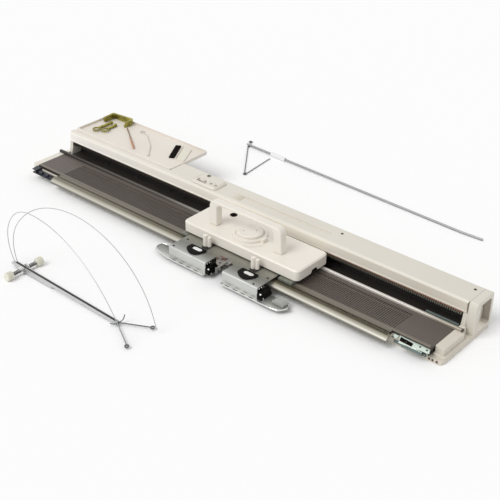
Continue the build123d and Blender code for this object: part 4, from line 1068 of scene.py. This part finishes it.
# %% Curbs, step and seams
CURB_FOOT = 6.2
slab_piece("curb_right", [([(530.2, -66.0), (550.0, -70.0), (550.0, -2.0), (530.2, -2.0)],
                           CURB_FOOT, 26.3)], "base_cream", slot="housing_cream", bevel=1.0)
slab_piece("step_right", [([(530.2, -71.5), (550.5, -74.0), (554.6, -70.0), (554.6, 12.0),
                            (530.2, 12.0)], CURB_FOOT, 13.4)], "base_cream", bevel=1.4)
slab_piece("curb_left", [(box_outline(-550.0, -530.2, -79.0, 1.0), CURB_FOOT, 24.4)],
           "housing_cream", bevel=1.0)
slab_piece("fascia_slot", [(box_outline(534.9, 537.3, 22.75, 23.3), 51.0, 70.5)], "seam_brown",
           slot="housing_cream")
slab_piece("seam_fill", [(box_outline(535.7, 537.6, 26.0, 80.0), 73.2, 73.9)], "housing_cream")

# %% [markdown]
# ## Console on the cover
#
# The console is a raised plate with a rounded bead round its top, a dark counter window in a
# raised frame, and small dots between its buttons. The bead is a closed wire, sunk halfway into
# the plate, which looks the same as a moulded edge and needs no cutting.

# %% Console bead
CONSOLE_TOP = 79.5
CONSOLE_LEFT, CONSOLE_RIGHT, CONSOLE_FRONT, CONSOLE_BACK = -148, -78, 27, 70
BEAD_INSET, BEAD_CORNER, BEAD_RADIUS = 4.2, 7, 0.55
left, right = CONSOLE_LEFT + BEAD_INSET, CONSOLE_RIGHT - BEAD_INSET
front, back = CONSOLE_FRONT + BEAD_INSET, CONSOLE_BACK - BEAD_INSET
bead = [(left + BEAD_CORNER, front), (right - BEAD_CORNER, front), (right, front),
        (right, front + BEAD_CORNER), (right, back - BEAD_CORNER), (right, back),
        (right - BEAD_CORNER, back), (left + BEAD_CORNER, back), (left, back),
        (left, back - BEAD_CORNER), (left, front + BEAD_CORNER), (left, front)]
finish_piece(wire("console_bead", [(x, y, CONSOLE_TOP) for x, y in bead], BEAD_RADIUS,
                  closed=True), "housing_cream")

# %% Counter window and dots
FRAME_TOP, GLASS_FOOT, GLASS_TOP, BAND_TOP = 80.2, 80.15, 80.3, 80.36
DOT_SIDE = [(0, 0), (1.0, 0), (0.8, 0.3), (0, 0.35)]
slab_piece("window_frame", [(box_outline(-136.2, -108.8, 31.8, 38.0, 1.2), CONSOLE_TOP,
                             FRAME_TOP)], "housing_cream", bevel=0.3)
slab_piece("window_glass", [(box_outline(-135.0, -110.0, 32.8, 37.0, 0.6), GLASS_FOOT,
                             GLASS_TOP)], "window_dark", stands_for=("console_window",))
form = bmesh.new()
add_slab(form, box_outline(-121.5, -111.5, 33.8, 36.0, 0.4), GLASS_TOP, BAND_TOP)
for x in (-126.0, -108.5, -93.5):
    add_turned(form, DOT_SIDE, (x, 47.0, CONSOLE_TOP), UP, 14)
finish_piece(link_piece("window_band", form), "window_pale", slot="window_dark")

# %% [markdown]
# ## Carrying handle
#
# The handle is one moulded arch. Its side view has arcs at the corners, and the posts flare where
# they meet the cover. A wide bevel on the long edges makes the section oval, so that it is easy on
# the hand. Drawing the arch as one outline keeps both posts and the bar in one smooth skin.

# %% Handle from one outline
HANDLE_LEFT, HANDLE_RIGHT, HANDLE_TOP, HANDLE_BAR = -14.5, 174.5, 113.0, 6.6
HANDLE_FRONT, HANDLE_BACK = -57, -39
POST, FOOT, SHOULDER, BEND = 20.5, 58.0, 61.5, 95.0
OUTER_ARC, INNER_ARC = 13.8, 10.0
OUTER_FLARE, INNER_FLARE, LEAN = 0.6, 0.8, 1.6


def arc(x, z, radius, start, stop, steps=8):
    """Points on an arc in degrees."""
    return [(x + radius * cos(radians(start + (stop - start) * step / steps)),
             z + radius * sin(radians(start + (stop - start) * step / steps)))
            for step in range(steps + 1)]


outer = [(HANDLE_LEFT - OUTER_FLARE, FOOT), (HANDLE_LEFT, SHOULDER), (HANDLE_LEFT + LEAN, BEND)]
outer += arc(HANDLE_LEFT + LEAN + OUTER_ARC, HANDLE_TOP - OUTER_ARC, OUTER_ARC, 176, 92)
outer += [((HANDLE_LEFT + HANDLE_RIGHT) / 2, HANDLE_TOP)]
outer += arc(HANDLE_RIGHT - LEAN - OUTER_ARC, HANDLE_TOP - OUTER_ARC, OUTER_ARC, 88, 4)
outer += [(HANDLE_RIGHT - LEAN, BEND), (HANDLE_RIGHT, SHOULDER),
          (HANDLE_RIGHT + OUTER_FLARE, FOOT)]
low = HANDLE_TOP - HANDLE_BAR - INNER_ARC
left, right = HANDLE_LEFT + POST, HANDLE_RIGHT - POST
inner = [(right - INNER_FLARE, FOOT), (right, SHOULDER)]
inner += arc(right - INNER_FLARE - INNER_ARC, low, INNER_ARC, 0, 90)
inner += arc(left + INNER_FLARE + INNER_ARC, low, INNER_ARC, 90, 180)
inner += [(left, SHOULDER), (left + INNER_FLARE, FOOT)]
slab_piece("handle", [(outer + inner, HANDLE_FRONT, HANDLE_BACK, "Y")], "carriage_cream",
           "carriage", stands_for=("carriage_handle",), bevel=3.4, segments=5, sharp=50)

# %% [markdown]
# ## Stitch dial
#
# The dial is a low turned cap on a broader skirt, with a ring of grip ribs and two small dots. The
# cap is turned, and the ribs are one small bar set out in a ring. Its seat is 0.3 mm above the
# cover, as on the solid.

# %% Dial cap, skirt, ribs and dots
DIAL = (77.5, -36.0, 58.0)
DIAL_RIBS, DIAL_TURN = 36, radians(44)
DOT_RING, DOT_ANGLE, DOT_LEVEL = 12.8, radians(42), 66.75
cap_side = [(6.1, 0.3), (28.2, 0.3), (29.0, 1.0), (29.0, 3.2), (28.3, 3.9), (26.4, 4.1),
            (26.2, 7.4), (25.6, 8.6), (24.4, 9.2), (21.5, 9.1), (20.5, 8.7), (0, 8.9)]
bore_side = [(6.1, 0.3), (6.1, 8.75), (0, 8.75)]
turned_piece("dial", [(cap_side, DIAL, UP, 72), (bore_side, DIAL, UP, 72)], "carriage_cream",
             "stitch_dial_body", stands_for=("stitch_dial",), sharp=50)
rib = pattern_shape("rib_shape", (box_outline(-1.1, 1.1, 61.9, 66.4, 0.5), 25.9, 27.4, "X"),
                    smooth=True)
dial_ribs = grow(ring_tree, "dial_ribs", "carriage_cream", Shape=rib, Count=DIAL_RIBS,
                 Tilt=(0, 0, DIAL_TURN), Place=(DIAL[0] * MM, DIAL[1] * MM, 0))
finish_piece(dial_ribs, "carriage_cream", "stitch_dial_body", bevel=0.35)
dot_side = [(0, 0), (1.5, 0), (1.2, 0.28), (0, 0.35)]
dots = [(dot_side, (DIAL[0] + side * DOT_RING * cos(DOT_ANGLE),
                    DIAL[1] + side * DOT_RING * sin(DOT_ANGLE), DOT_LEVEL), UP, 16)
        for side in (-1, 1)]
turned_piece("dial_dots", dots, "dot_brown", "stitch_dial_body", slot="carriage_cream")

# %% [markdown]
# ## Guide plates under the sinker plate
#
# The two bottom plates have a rolled bright rim along their outer edge, and dark slots show at
# their front. The rim is a wire along the plate's outline, which gives the narrow highlight of
# rolled steel. The dark of the slots is painted shadow: thin black slabs in a row fill the slot
# holes.

# %% Rolled rims and front slots
RIM_RADIUS = 0.85
rim_left = [(57, -152.4, 9.7), (-20, -152.4, 9.7), (-44, -152.0, 9.8), (-62, -149.0, 10.0),
            (-83, -141.6, 10.3), (-88.4, -132.5, 10.4), (-87.2, -120.0, 10.2),
            (-76, -116.6, 9.8), (-62, -116.4, 9.7)]
rim_right = [(103, -152.4, 9.7), (190, -152.4, 9.7), (228, -152.2, 9.8), (245, -149.2, 10.0),
             (257.2, -130.4, 10.3), (240.5, -117.6, 10.0), (222, -117.4, 9.7)]
for name, points in (("guide_rim_left", rim_left), ("guide_rim_right", rim_right)):
    finish_piece(wire(name, points, RIM_RADIUS), "chrome", "carriage", slot="sinker_steel")
SLOT_PITCH, HALF_SLOT = 20, 5.05
middles = [first + SLOT_PITCH * step for first in (-25.0, 118.0) for step in range(4)]
# Painted shadow: black slabs fill the slot holes.
slab_piece("guide_slots", [(box_outline(x - HALF_SLOT, x + HALF_SLOT, -150.55, -148.45), 8.6, 9.5)
                           for x in middles], "frame_black", "carriage")

# %% [markdown]
# ## End blocks of the two halves
#
# Dark blocks close the two folded halves. Past each one a black mount reaches out to the wheel
# behind it; the mount also paints the shadow under the end of each shoe. Bright domed rivets sit on
# both. The mount is a side view with a width, and each rivet is turned about its own line.

# %% Black wheel mounts and rivets
MOUNTS = (56.6, 189.6)
# Black mount, which also paints the shadow under the end of each shoe.
slab_piece("wheel_mounts", [([(x, 9.7), (x + 11.5, 9.7), (x + 11.5, 13.0), (x + 7.0, 21.5),
                              (x, 23.5)], -146.0, -114.0, "Y") for x in MOUNTS],
           "frame_black", "carriage", bevel=0.8)
block_rivet = [(0, 0), (1.9, 0), (1.7, 0.7), (1.1, 1.2), (0, 1.4)]
slope_rivet = [(0, 0), (2.3, 0), (2.1, 0.8), (1.3, 1.5), (0, 1.7)]
foot_rivet = [(0, 0), (1.6, 0), (1.4, 0.6), (0.8, 1.0), (0, 1.2)]
rivets = []
for x in (mount - 0.2 for mount in MOUNTS):
    rivets += [(block_rivet, (x, -138.4, 28.5), (1, 0, 0), 18),
               (block_rivet, (x, -131.6, 28.5), (1, 0, 0), 18),
               (slope_rivet, (x + 7.0, -142.5, 20.6), (0.4, 0, 1), 18),
               (foot_rivet, (x + 11.4, -139.5, 11.6), (1, 0, 0.2), 18)]
turned_piece("end_rivets", rivets, "chrome", "carriage", slot="button_silver")

# %% [markdown]
# ## Yarn feeder
#
# The yarn feeder is worn steel with a brown block between its bars, and its gate ends in a grey
# roller. The gate is one solid, so the roller is picked out by its place. The block is a new slab
# with its corners cut.

# %% Feeder gate and brown block
ROLLER_FROM = -144.2
softened("feeder_gate", 0.2, ("roller_grey",), lambda x, y, z: int(y < ROLLER_FROM),
         "feeder_steel")
slab_piece("feeder_block", [(box_outline(66.5, 81.5, -113.8, -110.2, 0.5), 35.4, 38.2),
                            (box_outline(63.0, 66.3, -121, -118, 0.3), 35.4, 37.2)],
           "feeder_brown", "carriage", slot="base_dark", bevel=0.3)

# %% [markdown]
# ## Brush wheels and rubber wheels
#
# The brush wheels press the knitted loops back with rings of bristles. One bunch of bristles is
# drawn and set out in a ring round a turned hub. The rubber wheels are turned with grooves.

# %% Bristles in a ring, and their hubs
WHEEL_LINE = -127
BRISTLES = 44
ROOT, TIP, HALF_ROOT, HALF_TIP, HALF_HEIGHT = 3.6, 11.8, 0.35, 0.22, 0.3
bunch = [([(ROOT, lean - HALF_ROOT), (TIP, lean * 2 - HALF_TIP), (TIP, lean * 2 + HALF_TIP),
           (ROOT, lean + HALF_ROOT)], level - HALF_HEIGHT, level + HALF_HEIGHT)
         for level, lean in ((17.0, -0.4), (18.4, 0.3), (19.8, -0.2), (21.2, 0.4))]
bristle = pattern_shape("bristle_shape", *bunch)
hub = [(1.56, 12.3), (3.6, 12.3), (4.0, 12.8), (4.0, 15.4), (5.4, 15.8), (5.4, 16.4),
       (4.2, 16.6), (4.2, 21.6), (5.4, 21.8), (5.4, 22.4), (4.0, 22.8), (4.0, 26.5),
       (3.6, 27.0), (1.56, 27.0), (1.56, 12.3)]
for side, x in (("left", -18.0), ("right", 168.0)):
    body = f"brush_wheel_{side}_body"
    ring = grow(ring_tree, f"bristles_{side}", "wheel_brush", Shape=bristle, Count=BRISTLES,
                Place=(x * MM, WHEEL_LINE * MM, 0))
    finish_piece(ring, "wheel_brush", body)
    turned_piece(f"brush_hub_{side}", [(hub, (x, WHEEL_LINE, 0))], "wheel_brush", body,
                 stands_for=(f"brush_wheel_{side}",))

# %% Rubber wheels
tyre = [(1.56, 12.3), (4.1, 12.3), (4.5, 12.8), (4.5, 14.2), (9.2, 14.2), (10.0, 14.9),
        (10.0, 16.2), (9.3, 16.7), (9.3, 17.2), (10.0, 17.6), (10.0, 18.6), (9.3, 19.0),
        (9.3, 19.5), (10.0, 20.0), (9.4, 21.0), (4.5, 21.0), (4.5, 26.5), (4.1, 27.0),
        (1.56, 27.0), (1.56, 12.3)]
for side, x in (("left", 36.0), ("right", 124.0)):
    turned_piece(f"tyre_{side}", [(tyre, (x, WHEEL_LINE, 0), UP, 40)], "wheel_rubber",
                 f"rubber_wheel_{side}_body", stands_for=(f"rubber_wheel_{side}",))

# %% [markdown]
# ## Tools in the tray
#
# The latch tool is a thin stem in a turned brown handle. Beside the dark pusher lies a pale plate.
# Handle and stem are turned about lines that meet where the handle begins, so the tool has the
# slight bend that it shows from above.

# %% Latch tool, transfer tool, pusher and pale plate
TRAY = Vector((-533.5, 37.0, 71.0))
PLATE_SHEET = 1.3


def in_tray(x, y, z=0.0):
    """Place on the machine of a place in the tray."""
    return tuple(TRAY + Vector((x, y, z)))


grip_side = [(0, 0), (1.5, 0), (2.1, 2), (2.0, 12), (2.3, 26), (2.3, 44), (1.9, 53), (1.0, 55.8),
             (0, 56.2)]
stem_side = [(0, 0), (0.9, 0.2), (1.1, 4), (1.25, 14), (1.35, 50), (1.75, 54), (1.8, 61),
             (0, 61)]
turned_piece("latch_handle", [(grip_side, in_tray(131.5, 54.5, 2.35), (46, -32.5, 0), 24)],
             "tool_brown", stands_for=("latch_tool",))
turned_piece("latch_stem", [(stem_side, in_tray(82.5, 89.3, 1.4), (50, -35.3, 0.9), 20)],
             "stem_brown", slot="tool_brown")
softened("transfer_tool", 0.0)
softened("needle_pusher", 0.3)
plate = [in_tray(x, y)[:2] for x, y in ((254, 104.5), (286, 47.5), (305.5, 51), (277, 104.5))]
slab_piece("pale_plate", [(plate, TRAY.z, TRAY.z + PLATE_SHEET)], "card_green",
           slot="tool_white", bevel=0.3)

# %% [markdown]
# ## Threads of the clamp screws
#
# The clamp screws have a cut thread. A wire wound round the shaft at the pitch of the thread gives
# its ridges, and the coil tree only needs the length of each shaft and the way it lies.

# %% Threads
THREAD_PITCH, THREAD_RADIUS, THREAD_WIRE, THREAD_STEPS = 2.2, 2.75, 0.5, 18
SHAFT_LEVEL, HEAD_LENGTH, PLAIN_END = 4.1, 10, 6
for number, (x, y, turn, length) in enumerate(((37, 34, 91, 40), (56, 44, 92, 26)), 1):
    ahead = Vector((cos(radians(turn)), sin(radians(turn)), 0))
    start = Vector(in_tray(x, y, SHAFT_LEVEL)) + ahead * HEAD_LENGTH
    cut = length - PLAIN_END
    thread = grow(coil_tree, f"thread_{number}", "clamp_olive", Turns=cut / THREAD_PITCH,
                  Radius=THREAD_RADIUS * MM, Height=cut * MM, Wire=THREAD_WIRE * MM,
                  Steps=THREAD_STEPS, Tilt=(0, radians(90), radians(turn)),
                  Place=tuple(start * MM))
    finish_piece(thread, "clamp_olive")

# %% [markdown]
# ## Springs and discs of the yarn tension unit
#
# Two knobs press springs against pairs of bright yarn discs on one axle. The springs are real coils
# here, with gaps that show the axle. The discs flare at the rim, so that the yarn slips between
# them, and each one is turned from a thin closed section.

# %% Springs
AXLE = Vector((-221.0, -367.0, 9.0))
SPRING_FROM, SPRING_LENGTH, SPRING_RADIUS, SPRING_WIRE = 9.3, 18.6, 3.3, 0.66
SPRING_TURNS, SPRING_STEPS = 9.0, 20
for side, name in ((-1, "front"), (1, "rear")):
    start = AXLE + Vector((0, side * SPRING_FROM, 0))
    spring = grow(coil_tree, f"spring_{name}", "spring_steel", Turns=SPRING_TURNS,
                  Radius=SPRING_RADIUS * MM, Height=SPRING_LENGTH * MM, Wire=SPRING_WIRE * MM,
                  Steps=SPRING_STEPS, Tilt=(radians(-90 * side), 0, 0), Place=tuple(start * MM))
    finish_piece(spring, "spring_steel", slot="bright_steel",
                 stands_for=("tension_springs",) if side < 0 else ())

# %% Yarn discs
DISC_FLARE, DISC_SHEET = 0.9, 0.45


def disc_side(flat, rim):
    """Closed section of a disc whose middle and rim lie at two distances."""
    half = (flat + rim) / 2
    return [(1.95, flat), (3.6, flat), (6.4, half), (7.5, rim), (7.5, rim + 0.35),
            (6.3, half + 0.4), (3.6, flat + DISC_SHEET), (1.95, flat + DISC_SHEET), (1.95, flat)]


discs = []
for side in (-1, 1):
    for away, section in ((5.0, disc_side(DISC_FLARE, 0.0)), (7.3, disc_side(0.0, DISC_FLARE))):
        discs.append((section, AXLE + Vector((0, side * away, 0)), (0, side, 0), 36))
turned_piece("yarn_discs", discs, "chrome", slot="bright_steel", stands_for=("tension_discs",))

# %% [markdown]
# ## Tension knobs and the fold of the bar
#
# Each knob is a turned cream cap with a blind bore and a ring of fine grip ribs. The ribs are one
# small bar in a ring that is tilted on to the axle. The blade of the bar is pale steel, and along
# its top runs a dark open fold, which is a long thin slab that slopes with the bar; its dark is
# painted shade inside the fold.

# %% Knobs with their ribs
KNOB_FROM, KNOB_RIBS = 29, 24
knob_side = [(1.68, 0), (7.0, 0), (7.9, 0.7), (7.9, 13.8), (7.0, 14.8), (5.4, 15.0), (4.6, 14.5),
             (0, 14.4)]
blind_bore = [(1.68, 0), (1.68, 12.5), (0, 12.5)]
knob_rib = pattern_shape("knob_rib_shape",
                         (box_outline(-0.75, 0.75, 1.6, 13.6, 0.4), 7.4, 8.6, "X"))
for side, name in ((-1, "front"), (1, "rear")):
    start = AXLE + Vector((0, side * KNOB_FROM, 0))
    body = f"tension_knob_{name}_body"
    turned_piece(f"knob_{name}", [(knob_side, start, (0, side, 0), 40),
                                  (blind_bore, start, (0, side, 0), 40)], "knob_cream", body,
                 stands_for=(f"tension_knob_{name}",))
    ribs = grow(ring_tree, f"knob_ribs_{name}", "knob_cream", Shape=knob_rib, Count=KNOB_RIBS,
                Tilt=(radians(-90 * side), 0, 0), Place=tuple(start * MM))
    finish_piece(ribs, "knob_cream", body, bevel=0.25)

# %% Dark fold on top of the bar
BAR_LEFT, BAR_RIGHT, BAR_HIGH, BAR_LOW = -246.0, 48.0, 15.0, 9.0
FOLD_INSET, FOLD_FOOT, FOLD_TOP = 2.0, 0.02, 0.16
fall = FOLD_INSET * (BAR_HIGH - BAR_LOW) / (BAR_RIGHT - BAR_LEFT)
left, right = (BAR_LEFT + FOLD_INSET, BAR_HIGH - fall), (BAR_RIGHT - FOLD_INSET, BAR_LOW + fall)
fold = [(left[0], left[1] + FOLD_FOOT), (right[0], right[1] + FOLD_FOOT),
        (right[0], right[1] + FOLD_TOP), (left[0], left[1] + FOLD_TOP)]
# Painted shade: a dark slab inside the open fold on top of the bar.
slab_piece("bar_fold", [(fold, -369.6, -364.8, "Y")], "base_dark")
